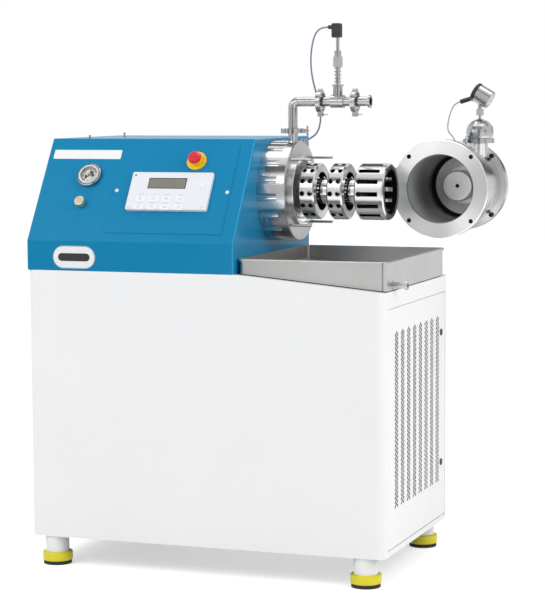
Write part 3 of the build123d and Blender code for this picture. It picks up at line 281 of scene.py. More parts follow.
def turnedSteel(name, colour, darker, roughness, along, centre, anisotropy, barrel=None):
    # Stainless steel from the lathe: rings of tool marks, 0.7 mm apart, round the turning axis,
    # which draw a highlight out into a bow tie on each face.
    material, tree, shader = newMaterial(name, {"Metallic": 1.0, "Roughness": roughness,
                                                "Anisotropic": anisotropy, "Anisotropic Rotation": 0.25})
    point = objectPoint(tree)
    radius, depth, across = fromAxis(tree, point, along, centre)
    both = addNode(tree, "ShaderNodeCombineXYZ", None, {"X": radius, "Y": depth})
    mottle(tree, shader, colour, darker, 60, point)
    grainBump(tree, shader, 0.7, 0.006, both.outputs[0], 3.0)
    around = addNode(tree, "ShaderNodeVectorMath", {"operation": "CROSS_PRODUCT", 1: unitAlong(along)},
                     {0: across})
    tangent = addNode(tree, "ShaderNodeVectorTransform",
                      {"vector_type": "VECTOR", "convert_from": "OBJECT", "convert_to": "WORLD"},
                      {"Vector": around.outputs[0]})
    tree.links.new(tangent.outputs[0], shader.inputs["Tangent"])
    if barrel:
        finerCutAndPaintedShade(tree, shader, along, barrel)
    return material


def paintedShadeSteel(name, colour, film, roughness, start, end):
    # Polished rotor steel: a clear reflection outside, and painted shade, dark and dull, in the hollow and the
    # holes. The film argument is the painted shade's colour. The piece runs from start to end along the rotor.
    material, tree, shader = newMaterial(name, {"Metallic": 1.0})
    point = objectPoint(tree)
    radius, depth, _ = fromAxis(tree, point, "X", ((start + end) / 2, *housingAxis[1:]))
    fromMiddle = maths(tree, "ABSOLUTE", depth)

    def within(reach, margin):
        inRadius = maths(tree, "LESS_THAN", radius, reach * millimetre)
        inDepth = maths(tree, "LESS_THAN", fromMiddle, ((end - start) / 2 - margin) * millimetre)
        return maths(tree, "MULTIPLY", inRadius, inDepth)

    hollow = within(rotorHollowShade["hollow"], rotorHollowShade["hollowMargin"])
    holes = within(rotorHollowShade["holes"], rotorHollowShade["holesMargin"])
    offHub = maths(tree, "GREATER_THAN", radius, rotorHollowShade["hub"] * millimetre)
    inside = maths(tree, "MULTIPLY", maths(tree, "MAXIMUM", hollow, holes), offHub)
    cloud = addNode(tree, "ShaderNodeTexNoise", {"Scale": perMetre(18), "Detail": 4.0}, {"Vector": point})
    shadeColour = mixColours(tree, cloud.outputs["Fac"], film, rotorHollowShade["darkest"])
    tree.links.new(mixColours(tree, inside, colour, shadeColour), shader.inputs["Base Color"])
    dull = addNode(tree, "ShaderNodeMapRange", {"To Min": roughness, "To Max": rotorHollowShade["roughness"]},
                   {"Value": inside})
    tree.links.new(dull.outputs["Result"], shader.inputs["Roughness"])
    grainBump(tree, shader, 5, 0.008, point)
    return material


def polishedSteel(name, colour, darker, roughness):
    # Electropolished stainless: a clear reflection with a faint cloud in it.
    return grained(name, {"Metallic": 1.0, "Roughness": roughness}, colour, darker, 35, 5, 0.01)


def sinteredCeramic(name):
    # Ground ceramic sleeve: a mid grey that stays dull, with a satin sheen and a faint cloud. The bottom of the
    # bore is painted black with a ragged edge: painted shade deep in the bore.
    material, tree, shader = newMaterial(name, {"Roughness": 0.36, "IOR": 1.8})
    point = objectPoint(tree)
    mottle(tree, shader, "#8e9092", "#808284", 45, point)
    depth = fromAxis(tree, point, "Y", chamberAxis)[1]
    ragged = addNode(tree, "ShaderNodeTexNoise", {"Scale": perMetre(14), "Detail": 3.0}, {"Vector": point})
    reach = maths(tree, "MULTIPLY_ADD", ragged.outputs["Fac"], linerDepthShade["ragged"] * millimetre, depth)
    paintedDeepShade = addNode(tree, "ShaderNodeMapRange", {"From Min": linerDepthShade["start"] * millimetre,
                                                "From Max": linerDepthShade["full"] * millimetre}, {"Value": reach})
    overlay(tree, shader, linerDepthShade["colour"], paintedDeepShade.outputs["Result"])
    grainBump(tree, shader, 1.5, 0.02, point)
    return material


def blastedScreen(name):
    # Stainless screen, finely bead-blasted: pale, with a soft reflection of what stands before the bore.
    return grained(name, {"Metallic": 1.0, "Roughness": 0.27}, "#fafafa", "#eeeeee", 20, 1, 0.02)


def castIron(name):
    # Painted sand casting: a pebbled skin of 2 mm grit under grey enamel.
    return grained(name, {"Roughness": 0.5, "IOR": 1.5}, "#6c7174", "#5f6467", 80, 2, 0.15)


def cableJacket(name, colour, darker):
    # Extruded PVC jacket: smooth, with a slight wave from the strands inside.
    return grained(name, {"Roughness": 0.42, "IOR": 1.53}, colour, darker, 120, 6, 0.05)


def clearGlass(name):
    # Flat gauge glass, a little green in its depth.
    material, tree, shader = newMaterial(name, {"Roughness": 0.03, "IOR": 1.52, "Transmission Weight": 1.0})
    mottle(tree, shader, "#fbfdfc", "#f4f8f6", 20, objectPoint(tree))
    return material


whiteCoat = powderCoat("powder coat light grey", "#ececec", "#e8e8e8", 0.42, 0.5)
blueCoat = powderCoat("powder coat blue", "#047eab", "#0379a5", 0.4, 0.14)
# The blue coat gets a painted highlight along the hood's right-hand fold.
paintFoldHighlight(blueCoat, hoodFoldHighlight)
blackCoat = powderCoat("powder coat black", "#1d1e20", "#26272a", 0.5, 0.5)
casting = castIron("painted casting grey")
traySteel = brushedSteel("brushed stainless tray", "#c7c6c4", "#b8b7b6", 0.32, "X")
# The pair at the end is the barrel's colour, a painted shade against the faces' colour, and the barrel's
# roughness.
barrelSteel = turnedSteel("turned stainless barrel", "#bebebe", "#b0b0b1", 0.3, "X", housingAxis, 0.6,
                          ("#d0d0d0", 0.19))
chamberSteel = turnedSteel("turned stainless chamber", "#f8f8f8", "#eeeeee", 0.3, "Y", chamberAxis, 0.85,
                           ("#bcbcbd", 0.17))
screenSteel = blastedScreen("blasted stainless screen")
ringSteel = turnedSteel("ground stainless ring", "#f8f8f8", "#f0f0f0", 0.22, "X", housingAxis, 0.2)
shaftSteel = turnedSteel("turned shaft steel", "#d6d7d8", "#c9cacb", 0.13, "X", housingAxis, 0.3)
# The rotor pieces get painted shade in their hollows and holes.
innerDiscSteel = paintedShadeSteel("polished steel inner disc", "#d2d3d4", "#262627", 0.2, 758.0, 805.0)
outerDiscSteel = paintedShadeSteel("polished steel outer disc", "#d2d3d4", "#262627", 0.2, 844.0, 891.0)
cageSteel = paintedShadeSteel("polished steel cage", "#cfd0d1", "#262627", 0.22, 928.0, 1017.0)
pipeSteel = polishedSteel("electropolished pipe", "#b9babb", "#aaabad", 0.25)
boltSteel = polishedSteel("bright zinc", "#b9bbbd", "#a9abad", 0.26)
linerCeramic = sinteredCeramic("sintered ceramic liner")
blackNylon = mouldedPlastic("moulded nylon black", "#191a1c", "#222325", 0.45)
blackRubber = rubber("nitrile rubber black")
blueJacket = cableJacket("cable jacket blue grey", "#7f86a3", "#717a93")
greyJacket = cableJacket("cable jacket grey", "#8f9897", "#818a89")
yellowPlastic = mouldedPlastic("moulded polyurethane yellow", "#e3d81c", "#d6c817", 0.38)
stopYellow = mouldedPlastic("moulded ABS signal yellow", "#f2c71c", "#e8ba18", 0.33)
stopRed = mouldedPlastic("moulded ABS signal red", "#d8232a", "#c81d24", 0.28)
filmWhite = mouldedPlastic("polyester film white", "#e7e9ea", "#e1e4e5", 0.36, 1.5)
panelFilm = mouldedPlastic("polyester film pale grey", "#dfe1e6", "#d9dbe1", 0.36, 1.5)
dialWhite = mouldedPlastic("enamelled dial white", "#f2f3f2", "#eceeed", 0.4)
dialBlack = mouldedPlastic("dial print black", "#17181a", "#1f2022", 0.5)
dialRed = mouldedPlastic("dial print red", "#b4363a", "#a92f33", 0.5)
keyPrint = mouldedPlastic("key print grey blue", "#c3c9d2", "#b9c0ca", 0.45)
displayGlass = mouldedPlastic("display glass olive grey", "#86837a", "#79776e", 0.2, 4)
brassPlate = polishedSteel("plated brass knob", "#f1e8d0", "#ddcfab", 0.42)
bezelSteel = polishedSteel("satin stainless bezel", "#e8ecee", "#dde1e3", 0.45)
gaugeGlass = clearGlass("gauge glass clear")
rimGrey = mouldedPlastic("anodised rim grey", "#a9adb0", "#9ea2a5", 0.35)
blackBolt = polishedSteel("black oxide bolts", "#3a3b3d", "#303133", 0.4)
# Black for the sleeves in the chamber's holes: painted shade.
holeShadeBlack = mouldedPlastic("painted hole shade black", "#121314", "#1b1c1d", 0.7)
lampLens = mouldedPlastic("signal lens dark blue", "#1e2a55", "#24305c", 0.15, 6)
print("materials made:", len(bpy.data.materials))

finishes = [
    (whiteCoat, ["cabinet_shell", "rear_cover", "side_door", "foot_stems"]),
    (blueCoat, ["hood_shell", "control_plate"]),
    (blackCoat, ["base_frame", "door_frame", "guide_pedestal", "electrics_box", "drive_motor"]),
    (casting, ["bearing_unit", "driven_pulley", "motor_pulley"]),
    (traySteel, ["drip_tray"]),
    (barrelSteel, ["bearing_housing", "carriage_head"]),
    (ringSteel, ["seal_carrier"]),
    (chamberSteel, ["chamber_shell", "chamber_end_plate", "chamber_lugs"]),
    (screenSteel, ["screen_cartridge"]),
    (shaftSteel, ["rotor_spacers", "main_shaft"]),
    (innerDiscSteel, ["inner_rotor_disc"]),
    (outerDiscSteel, ["outer_rotor_disc"]),
    (cageSteel, ["cage_rotor"]),
    (pipeSteel, ["product_elbow", "product_tee", "product_nozzle", "pipe_clamps", "port_clamp",
                 "diaphragm_seal", "temperature_sensor", "air_gauge", "pressure_gauge_case"]),
    (boltSteel, ["chamber_studs", "guide_bar", "hinge_pin", "shaft_bearings"]),
    (blackBolt, ["end_plate_bolts"]),
    (linerCeramic, ["chamber_liner", "shaft_seal"]),
    (blackNylon, ["lower_lock", "upper_lock", "sensor_plug", "pressure_gauge_back", "air_needle",
                  "pressure_needle"]),
    (blackRubber, ["foot_pads", "tray_gasket", "drive_belts"]),
    (yellowPlastic, ["foot_rings"]),
    (stopYellow, ["estop_base"]),
    (stopRed, ["estop_button"]),
    (panelFilm, ["display_panel"]),
    (brassPlate, ["regulator_knob", "regulator_body"]),
    (blueJacket, ["sensor_cable"]),
    (greyJacket, ["gauge_cable"]),
]


def dressNodes():
    for material, names in finishes:
        for name in names:
            mesh = nodes[name].data
            mesh.materials.clear()
            mesh.materials.append(material)


dressNodes()
print("nodes dressed")


# Piece helpers

def addPiece(name, mesh, material, body):
    piece = newObject(name, mesh)
    mesh.materials.append(material)
    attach(piece, body)
    return piece


def meshFrom(name, build, smoothAngle=40):
    mesh = bpy.data.meshes.new(name)
    bmesh.ops.recalc_face_normals(build, faces=build.faces)
    build.to_mesh(mesh)
    build.free()
    mesh.shade_smooth()
    mesh.set_sharp_from_angle(angle=math.radians(smoothAngle))
    return mesh


def addBuilt(name, build, material, body, smoothAngle=40):
    addPiece(name, meshFrom(name, build, smoothAngle), material, body)


def skinInto(build, rings):
    # Walls between rings of as many points each, and a cap on the last ring and on the first.
    count = len(rings[0])
    for low, high in zip(rings, rings[1:]):
        for step in range(count):
            after = (step + 1) % count
            build.faces.new((low[step], low[after], high[after], high[step]))
    build.faces.new(rings[-1])
    build.faces.new(list(reversed(rings[0])))


def latheInto(build, profile, where, segments=48):
    # Turns (radius, height) points about the workbench's Z.
    rings = []
    for radius, height in profile:
        if radius < 1e-6:
            rings.append([build.verts.new(where @ Vector((0, 0, height)))])
            continue
        ring = []
        for step in range(segments):
            angle = 2 * math.pi * step / segments
            spot = Vector((radius * math.cos(angle), radius * math.sin(angle), height))
            ring.append(build.verts.new(where @ spot))
        rings.append(ring)
    for low, high in zip(rings, rings[1:]):
        for step in range(segments):
            after = (step + 1) % segments
            corners = [low[step % len(low)], low[after % len(low)],
                       high[after % len(high)], high[step % len(high)]]
            unique = list(dict.fromkeys(corners))
            if len(unique) > 2:
                build.faces.new(unique)


def roundedOutline(width, height, radius, steps=8):
    points = []
    for cornerX, cornerY, start in ((1, 1, 0), (-1, 1, 90), (-1, -1, 180), (1, -1, 270)):
        for step in range(steps + 1):
            angle = math.radians(start + 90 * step / steps)
            points.append((cornerX * (width / 2 - radius) + radius * math.cos(angle),
                           cornerY * (height / 2 - radius) + radius * math.sin(angle)))
    return points


def plateInto(build, width, height, radius, thickness, edge, where):
    # A flat plate with rounded corners, whose front edge is broken by a small chamfer.
    rings = []
    for inset, level in ((0, 0), (0, thickness - edge), (edge, thickness)):
        outline = roundedOutline(width - 2 * inset, height - 2 * inset, max(radius - inset, 0.05))
        rings.append([build.verts.new(where @ Vector((x, y, level))) for x, y in outline])
    skinInto(build, rings)


def addPlate(name, size, where, material):
    build = bmesh.new()
    plateInto(build, *size, where)
    addBuilt(name, build, material, "cabinet", 30)


def addLathe(name, profile, where, material, body, segments=48):
    build = bmesh.new()
    latheInto(build, profile, where, segments)
    addBuilt(name, build, material, body)


# Cables

sensorCable = {
    "diameter": 5.0,
    "length": 388.7,
    "route": [(826, 336, 1585), (808, 336, 1585), (788, 338.5, 1573.5), (775, 344.5, 1549), (766.5, 351, 1514),
              (762.5, 358, 1476), (765, 367.5, 1432), (773, 378.5, 1392), (780, 386, 1356), (782.5, 391, 1322),
              (777, 395, 1291), (765, 398, 1271), (750.65, 399.23, 1261.49), (739, 396.31, 1254.28)],
}
gaugeCable = {
    "diameter": 4.0,
    "length": 211.2,
    "route": [(1102.59, 791, 1363.79), (1090.14, 791, 1360.05), (1080.2, 787, 1350.5), (1075.5, 776, 1333.5),
              (1075, 758, 1315), (1077.5, 736, 1297.5), (1083, 714, 1282), (1093, 693, 1270), (1106, 677, 1262),
              (1117.48, 663.2, 1252.47), (1123.77, 657.23, 1241.4)],
}


def addCable(name, cable, material, body, node):
    data = bpy.data.curves.new(name, "CURVE")
    data.dimensions = "3D"
    data.bevel_depth = cable["diameter"] / 2 * millimetre
    data.bevel_resolution = 5
    data.use_fill_caps = True
    line = data.splines.new("NURBS")
    line.points.add(len(cable["route"]) - 1)
    for point, spot in zip(line.points, cable["route"]):
        point.co = (*place(*spot), 1)
    line.order_u = 3
    line.use_endpoint_u = True
    line.resolution_u = 12
    piece = newObject(name, data)
    data.materials.append(material)
    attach(piece, body)
    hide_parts(node)


addCable("sensor_lead", sensorCable, blueJacket, "cabinet", "sensor_cable")
addCable("gauge_lead", gaugeCable, greyJacket, "chamber", "gauge_cable")
print("cables laid")


# Small shapes that several pieces share

def screwInto(build, where, head, height, key, keyDepth):
    # A button head with a socket in it. Its steps are shares of the head's and the socket's sizes, and
    # the socket's own rings have their points on a hexagon.
    points = 24
    profile = [(head, 0, False), (head, height * 0.35, False), (head * 0.9, height * 0.75, False),
               (head * 0.68, height, False), (key * 1.22, height, False), (key, height, True),
               (key, height - keyDepth, True)]
    rings = []
    for radius, level, sixSided in profile:
        ring = []
        for step in range(points):
            turn = step * 360 / points
            reach = radius / math.cos(math.radians(turn % 60 - 30)) if sixSided else radius
            angle = math.radians(turn)
            spot = Vector((reach * math.cos(angle), reach * math.sin(angle), level))
            ring.append(build.verts.new(where @ spot))
        rings.append(ring)
    skinInto(build, rings)


def addPrint(name, outlines, where, material, body, ink):
    # Flat ink: each outline is a slip of film that begins and ends a little above what it is printed on.
    build = bmesh.new()
    for outline in outlines:
        skinInto(build, [[build.verts.new(where @ Vector((x, y, level))) for x, y in outline] for level in ink])
    addBuilt(name, build, material, body, 30)


def shiftedAll(outlines, x, y):
    return [[(px + x, py + y) for px, py in outline] for outline in outlines]


def bar(x, y, width, height):
    return [(x - width / 2, y - height / 2), (x + width / 2, y - height / 2),
            (x + width / 2, y + height / 2), (x - width / 2, y + height / 2)]


def arcBand(inner, outer, start, end, steps):
    # Part of a ring, between two angles in degrees.
    angles = [math.radians(start + (end - start) * step / steps) for step in range(steps + 1)]
    outward = [(outer * math.cos(angle), outer * math.sin(angle)) for angle in angles]
    inward = [(inner * math.cos(angle), inner * math.sin(angle)) for angle in reversed(angles)]
    return outward + inward


def ringPieces(inner, outer, count=4):
    # A full ring, as arcs that meet.
    return [arcBand(inner, outer, 360 * step / count, 360 * (step + 1) / count, 6) for step in range(count)]


def arrow(x, y, size, turn):
    # A solid arrow head that points turn degrees round from the right.
    angle = math.radians(turn)
    corners = [(size, 0), (-size * 0.6, size * 0.9), (-size * 0.6, -size * 0.9)]
    return [(x + px * math.cos(angle) - py * math.sin(angle), y + px * math.sin(angle) + py * math.cos(angle))
            for px, py in corners]


# Plates on the hood

hood = {"slantFoot": 967.0, "slantRun": 189.0, "slantRise": 294.0, "top": 1261.0}
slantUp = Vector((0, hood["slantRun"], hood["slantRise"])).normalized()
slantOut = Vector((0, -hood["slantRise"], hood["slantRun"])).normalized()


def onSlant(across, up, out):
    # A workbench on the hood's slope: up along it from its lower edge, and out from its face.
    foot = Vector((across, 0, hood["slantFoot"]))
    return frameAt(foot + slantUp * up + slantOut * out, slantOut)


# Each plate or key is its width, height, corner radius, thickness and chamfer.
namePlate = {"centre": (128, 294), "size": (220, 31, 2.5, 1.2, 0.4)}
badge = {
    "centre": (153.5, 920.0),
    "layers": (("badge_rim", (136, 67, 33.4, 1.4, 0.5), rimGrey, "stainless_sheet"),
               ("badge_film", (131, 62, 30.9, 0.5, 0.2), filmWhite, "white_membrane"),
               ("badge_bar", (101, 23, 11.4, 0.4, 0.15), dialBlack, "black_plastic")),
}


def addBadge():
    x, z = badge["centre"]
    out = 0.0
    for name, size, material, slot in badge["layers"]:
        addPlate(name, size, frameAt((x, -out, z), (0, -1, 0)), material)
        out += size[3]


addPlate("name_plate", namePlate["size"], onSlant(*namePlate["centre"], 0), filmWhite)
addBadge()
print("bare plates set")


# Display

displayPanel = {
    "front": 12.5,              # the case's face above the hood
    "windowFloor": 11.0,
    "glassLift": 0.3,
    "window": (411.75, 191.0),
    "windowSize": (119.4, 35.4, 0.8, 0.35, 0.1),
    "glassSize": (115.0, 31.0, 0.5, 0.7, 0.1),
    "keyColumns": (338.0, 379.0, 420.0, 462.0),
    "keyRows": (139.5, 111.5),
    "keySize": (27.0, 19.0, 3.0, 0.35, 0.25),
    "label": (13.2, 17.0, 1.6),  # how far above its key, how long, how high
    "pad": (519.7, 189.2),
    "padSpread": (14.0, 11.5),
    "padKey": (12.5, 9.5, 2.0, 0.35, 0.25),
    "padArrow": 3.2,
    "sideSpread": 26.0,
    "sideKey": (7.5, 9.5, 1.6, 0.35, 0.25),
    "ink": (0.3, 0.5),
    "lamp": (307.0, 217.6),
    "lampProfile": [(0, 1.3), (1.4, 1.1), (2.5, 0.6), (2.9, 0)],
    "marks": ((307.0, 109.0), (534.6, 111.3)),
    "markRing": (2.2, 3.4),
}


def keyIcon(column, x, y):
    # Plain signs in the manner of machine keys, one for each column: bars, a ring, arrows and steps.
    if column == 0:
        return [bar(x, y, 9, 1.8), bar(x, y + 4, 9, 1.8), bar(x, y - 4, 9, 1.8)]
    if column == 1:
        return shiftedAll(ringPieces(3.6, 5.2), x, y) + [bar(x, y + 4.6, 1.6, 4.4)]
    if column == 2:
        return [arrow(x - 3, y, 4.2, 180), arrow(x + 3.4, y, 4.2, 0)]
    return [bar(x - 4.4, y - 2.6, 2.4, 3.4), bar(x, y - 1.2, 2.4, 6.2), bar(x + 4.4, y + 0.4, 2.4, 9.4)]


def addDisplay():
    panel = displayPanel
    front = panel["front"]
    floor = panel["windowFloor"]
    addPlate("display_bezel", panel["windowSize"], onSlant(*panel["window"], floor), dialBlack)
    addPlate("display_glass", panel["glassSize"], onSlant(*panel["window"], floor + panel["glassLift"]),
             displayGlass)
    keys = bmesh.new()
    icons = []
    labelLift, labelLength, labelHeight = panel["label"]
    for column, x in enumerate(panel["keyColumns"]):
        for up in panel["keyRows"]:
            plateInto(keys, *panel["keySize"], onSlant(x, up, front))
            icons += keyIcon(column, x, up)
            icons.append(bar(x, up + labelLift, labelLength, labelHeight))
    padX, padUp = panel["pad"]
    wide, tall = panel["padSpread"]
    for across, along in ((-wide, 0), (wide, 0), (0, tall), (0, -tall), (0, 0)):
        plateInto(keys, *panel["padKey"], onSlant(padX + across, padUp + along, front))
    for across in (-panel["sideSpread"], panel["sideSpread"]):
        plateInto(keys, *panel["sideKey"], onSlant(padX + across, padUp, front))
    for turn, across, along in ((0, wide, 0), (90, 0, tall), (180, -wide, 0), (270, 0, -tall)):
        icons.append(arrow(padX + across, padUp + along, panel["padArrow"], turn))
    for x, up in panel["marks"]:
        icons += shiftedAll(ringPieces(*panel["markRing"]), x, up)
    addBuilt("display_keys", keys, filmWhite, "cabinet", 30)
    addPrint("display_prints", icons, onSlant(0, 0, front), keyPrint, "cabinet", panel["ink"])
    addLathe("display_lamp", panel["lampProfile"], onSlant(*panel["lamp"], front), lampLens, "cabinet",
             24)


addDisplay()
print("display dressed")


# Screws, pegs and plugs

# Each head is its radius and height, and the socket's radius and depth.
panelScrews = {"at": ((252.0, 170.5), (600.0, 168.5)), "plate": 1.5, "head": (5.6, 2.8, 2.0, 1.4)}
rearScrews = {"x": (67.5, 550.0, 1032.5), "z": (142.5, 470.0, 797.5), "face": 662.5, "head": (5.0, 2.4, 1.7, 1.2)}
hoodPegs = {
    "at": ((80.0, 277.0, 9.0), (126.0, 431.0, 14.0)),  # x, y, height
    "foot": [(5.5, 0), (5.5, 1.5), (3.4, 2.0), (2.6, 2.6)],
    "head": [(2.6, -4), (3.8, -3.4), (3.8, -0.8), (3.0, 0), (0, 0)],
}
housingPlug = {
    "x": 671.0,
    "angle": -35.0,
    "radius": 146.6,
    "head": (7.6, 1.9, 3.6, 1.7),
    "socket": [(3.4, 0.0), (3.4, 0.35), (0, 0.35)],
}


def addFixings():
    build = bmesh.new()
    for x, up in panelScrews["at"]:
        screwInto(build, onSlant(x, up, panelScrews["plate"]), *panelScrews["head"])
    addBuilt("panel_screws", build, filmWhite, "cabinet")
    build = bmesh.new()
    for x, y, height in hoodPegs["at"]:
        profile = hoodPegs["foot"] + [(radius, height + drop) for radius, drop in hoodPegs["head"]]
        latheInto(build, profile, frameAt((x, y, hood["top"]), (0, 0, 1)), 20)
    addBuilt("hood_pegs", build, boltSteel, "cabinet")
    build = bmesh.new()
    left, middle, right = rearScrews["x"]
    low, halfway, high = rearScrews["z"]
    spots = [(x, z) for x in (left, middle, right) for z in (low, high)] + [(left, halfway), (right, halfway)]
    for x, z in spots:
        screwInto(build, frameAt((x, rearScrews["face"], z), (0, 1, 0)), *rearScrews["head"])
    addBuilt("rear_screws", build, boltSteel, "cabinet")
    turn = math.radians(housingPlug["angle"])
    radial = Vector((0, -math.cos(turn), math.sin(turn)))
    spot = Vector((housingPlug["x"], *housingAxis[1:])) + radial * housingPlug["radius"]
    where = frameAt(spot, radial)
    build = bmesh.new()
    screwInto(build, where, *housingPlug["head"])
    addBuilt("housing_plug", build, boltSteel, "cabinet")
    # A black disc down in the plug's hex socket: painted shade in the recess.
    addLathe("housing_plug_socket_shade", housingPlug["socket"], where, dialBlack, "cabinet", 24)


addFixings()
print("fixings in place")


# Inside the chamber: thin black sleeves in the flange's bolt holes and in the screen's outlet, and a thin black
# ring at the bottom of the bore. All are painted shade, dark pieces where the holes and the bore's end lie in
# shade.

# Each start is measured from the chamber's mouth. Each sleeve is its radius, wall and length.
boltBores = {"circle": 136.0, "angles": (45, 135, 225, 315), "start": 0.5, "sleeve": (6.7, 0.4, 44.0)}
screenBore = {"start": 202.3, "sleeve": (5.95, 0.4, 60.0)}
# A thin black ring at the bottom of the bore: painted shade where the liner meets the end plate.
endShadeRing = {"bore": 91.0, "outside": 100.8, "start": 280.2, "thickness": 1.8, "chamfers": (0.6, 0.9)}


def inChamber(across, start, up):
    x, y, z = chamberAxis
    return frameAt((x + across, y + start, z + up), (0, 1, 0))


def sleeveInto(build, where, radius, wall, length):
    profile = [(radius, 0), (radius - wall, 0), (radius - wall, length), (radius, length), (radius, 0)]
    latheInto(build, profile, where, 24)


def addBores():
    build = bmesh.new()
    # Black sleeves in the flange's bolt holes: painted shade inside the holes.
    for angle in boltBores["angles"]:
        turn = math.radians(angle)
        across, up = boltBores["circle"] * math.cos(turn), boltBores["circle"] * math.sin(turn)
        sleeveInto(build, inChamber(across, boltBores["start"], up), *boltBores["sleeve"])
    addBuilt("flange_bore_shades", build, holeShadeBlack, "chamber")
    build = bmesh.new()
    # A black sleeve in the screen's outlet: painted shade inside the hole.
    sleeveInto(build, inChamber(0, screenBore["start"], 0), *screenBore["sleeve"])
    addBuilt("screen_bore_shade", build, holeShadeBlack, "chamber")
    # The black ring, made in the black rubber material, is painted shade at the bottom of the bore.
    bore, outside, lip = endShadeRing["bore"], endShadeRing["outside"], endShadeRing["thickness"]
    outer, inner = endShadeRing["chamfers"]
    profile = [(outside, outer), (outside - outer, 0), (bore + inner, 0), (bore, inner), (bore, lip),
               (outside, lip), (outside, outer)]
    addLathe("end_shade_ring", profile, inChamber(0, endShadeRing["start"], 0), blackRubber, "chamber", 96)


addBores()
print("bores lined")


# Dials

# The scale's angles are in degrees. Each tick is its extra length and its half width in degrees.
dialScale = {"ticks": 31, "first": 225, "pitch": 9, "boldEvery": 5, "bold": (2.4, 1.5), "plain": (0, 0.9)}
dialFace = {"thickness": 0.5, "chamfer": (0.4, 0.15), "blackInk": (0.45, 0.62), "redInk": (0.45, 0.6)}
dialCover = {"overlap": 0.2, "glass": 0.9, "bezelLevels": (1.0, 1.5, 2.0), "bezelFall": 0.5}
airDial = {
    "where": onSlant(154.0, 219.0, 7.0),
    "radius": 31.6,
    "bezel": (26.4, 31.8),
    "marks": (22.6, 25.6),
    "redArc": (19.4, 21.2, 20, 205),
    "glass": 5.6,
    "body": "cabinet",
    "centre": ((7.5, 15.0, 180, 232), (7.0, 15.0, -28, 88)),
}
gaugeCase = {"centre": (1177.3, 791, 1379.2), "tilt": 30.0, "face": 17.0}
gaugeTilt = math.radians(gaugeCase["tilt"])
gaugeAxis = Vector((math.cos(gaugeTilt), 0, -math.sin(gaugeTilt)))
pressureDial = {
    "where": frameAt(Vector(gaugeCase["centre"]) + gaugeAxis * gaugeCase["face"], gaugeAxis, (0, 1, 0)),
    "radius": 24.6,
    "bezel": (23.4, 24.8),
    "marks": (20.2, 22.8),
    "redArc": (17.4, 18.8, -45, 40),
    "glass": 5.2,
    "body": "chamber",
    "centre": (),
}


def addDial(name, dial):
    where, radius, body = dial["where"], dial["radius"], dial["body"]
    top = dialFace["thickness"]
    inset, drop = dialFace["chamfer"]
    profile = [(radius, 0), (radius, top - drop), (radius - inset, top), (0, top)]
    addLathe(name + "_face", profile, where, dialWhite, body, 64)
    inner, outer = dial["marks"]
    ink = []
    for step in range(dialScale["ticks"]):
        angle = dialScale["first"] - step * dialScale["pitch"]
        more, half = dialScale["plain" if step % dialScale["boldEvery"] else "bold"]
        ink.append(arcBand(inner - more, outer, angle - half, angle + half, 2))
    ink += [arcBand(*spot, 10) for spot in dial["centre"]]
    addPrint(name + "_marks", ink, where, dialBlack, body, dialFace["blackInk"])
    red = [arcBand(*dial["redArc"], 30)]
    addPrint(name + "_red_arc", red, where, dialRed, body, dialFace["redInk"])
    under = dial["glass"]
    over = under + dialCover["glass"]
    wide = radius + dialCover["overlap"]
    profile = [(0, under), (wide, under), (wide, over), (0, over)]
    addLathe(name + "_glass", profile, where, gaugeGlass, body, 64)
    inner, outer = dial["bezel"]
    low, middle, high = [under + level for level in dialCover["bezelLevels"]]
    profile = [(outer, low), (inner, low), (inner, middle), (inner + dialCover["bezelFall"], high),
               (outer, high), (outer, low)]
    addLathe(name + "_bezel", profile, where, bezelSteel, body, 64)


addDial("air_dial", airDial)
addDial("pressure_dial", pressureDial)
print("dials made")


# Perforated side door

sideDoor = {
    "face": 1100.0,
    "front": 34.0,
    "back": 626.0,
    "bottom": 105.0,
    "top": 789.0,
    "depth": 16.0,
    "hingeEdge": 8.0,
    "fold": 2.0,
    "flatStrip": 1.0,
    "sheet": 1.2,
    "ventFirst": 118.0,
    "ventPitch": 60.6,
    "ventColumns": 8,
    "lines": ((-11.5, 0.0), (0.0, 0.5), (11.5, 0.0)),
    "holeRadius": 5.6,
    "holePitch": 12.6,
    "holeBottom": 220.0,
    "holeRows": 40,
    "holeSides": 12,
    "lockPlace": 580.0,
    "lockHeights": (272.0, 670.0),
    "lockRadius": 5.1,
}
doorPins = {"at": (1092.0, 42.0), "radius": 3.5, "chamfer": 0.5, "out": 6.5, "in": 2.0}


def doorHoles():
    # Each column is three lines of holes, the middle one half a pitch higher.
    holes = []
    for column in range(sideDoor["ventColumns"]):
        middle = sideDoor["ventFirst"] + column * sideDoor["ventPitch"]
        for shift, lift in sideDoor["lines"]:
            for row in range(sideDoor["holeRows"]):
                z = sideDoor["holeBottom"] + (row + lift) * sideDoor["holePitch"]
                holes.append((middle + shift, z, sideDoor["holeRadius"]))
    holes += [(sideDoor["lockPlace"], z, sideDoor["lockRadius"]) for z in sideDoor["lockHeights"]]
    return holes


def perforatedInto(build, corners, holes, x):
    # A flat sheet between four corners, with its holes left open.
    sides = sideDoor["holeSides"]
    spots = [Vector(corner) for corner in corners]
    edges = [(step, (step + 1) % 4) for step in range(4)]
    for y, z, radius in holes:
        start = len(spots)
        for step in range(sides):
            angle = 2 * math.pi * step / sides
            spots.append(Vector((y + radius * math.cos(angle), z + radius * math.sin(angle))))
            edges.append((start + step, start + (step + 1) % sides))
    points, _, faces, sources, _, _ = delaunay_2d_cdt(spots, edges, [], 0, 1e-6)
    made = [build.verts.new(place(x, point.x, point.y)) for point in points]
    holeOf = [(origin[0] - 4) // sides if origin and origin[0] >= 4 else -1 for origin in sources]
    for face in faces:
        owners = {holeOf[index] for index in face}
        if len(owners) == 1 and -1 not in owners:
            continue
        build.faces.new([made[index] for index in face])


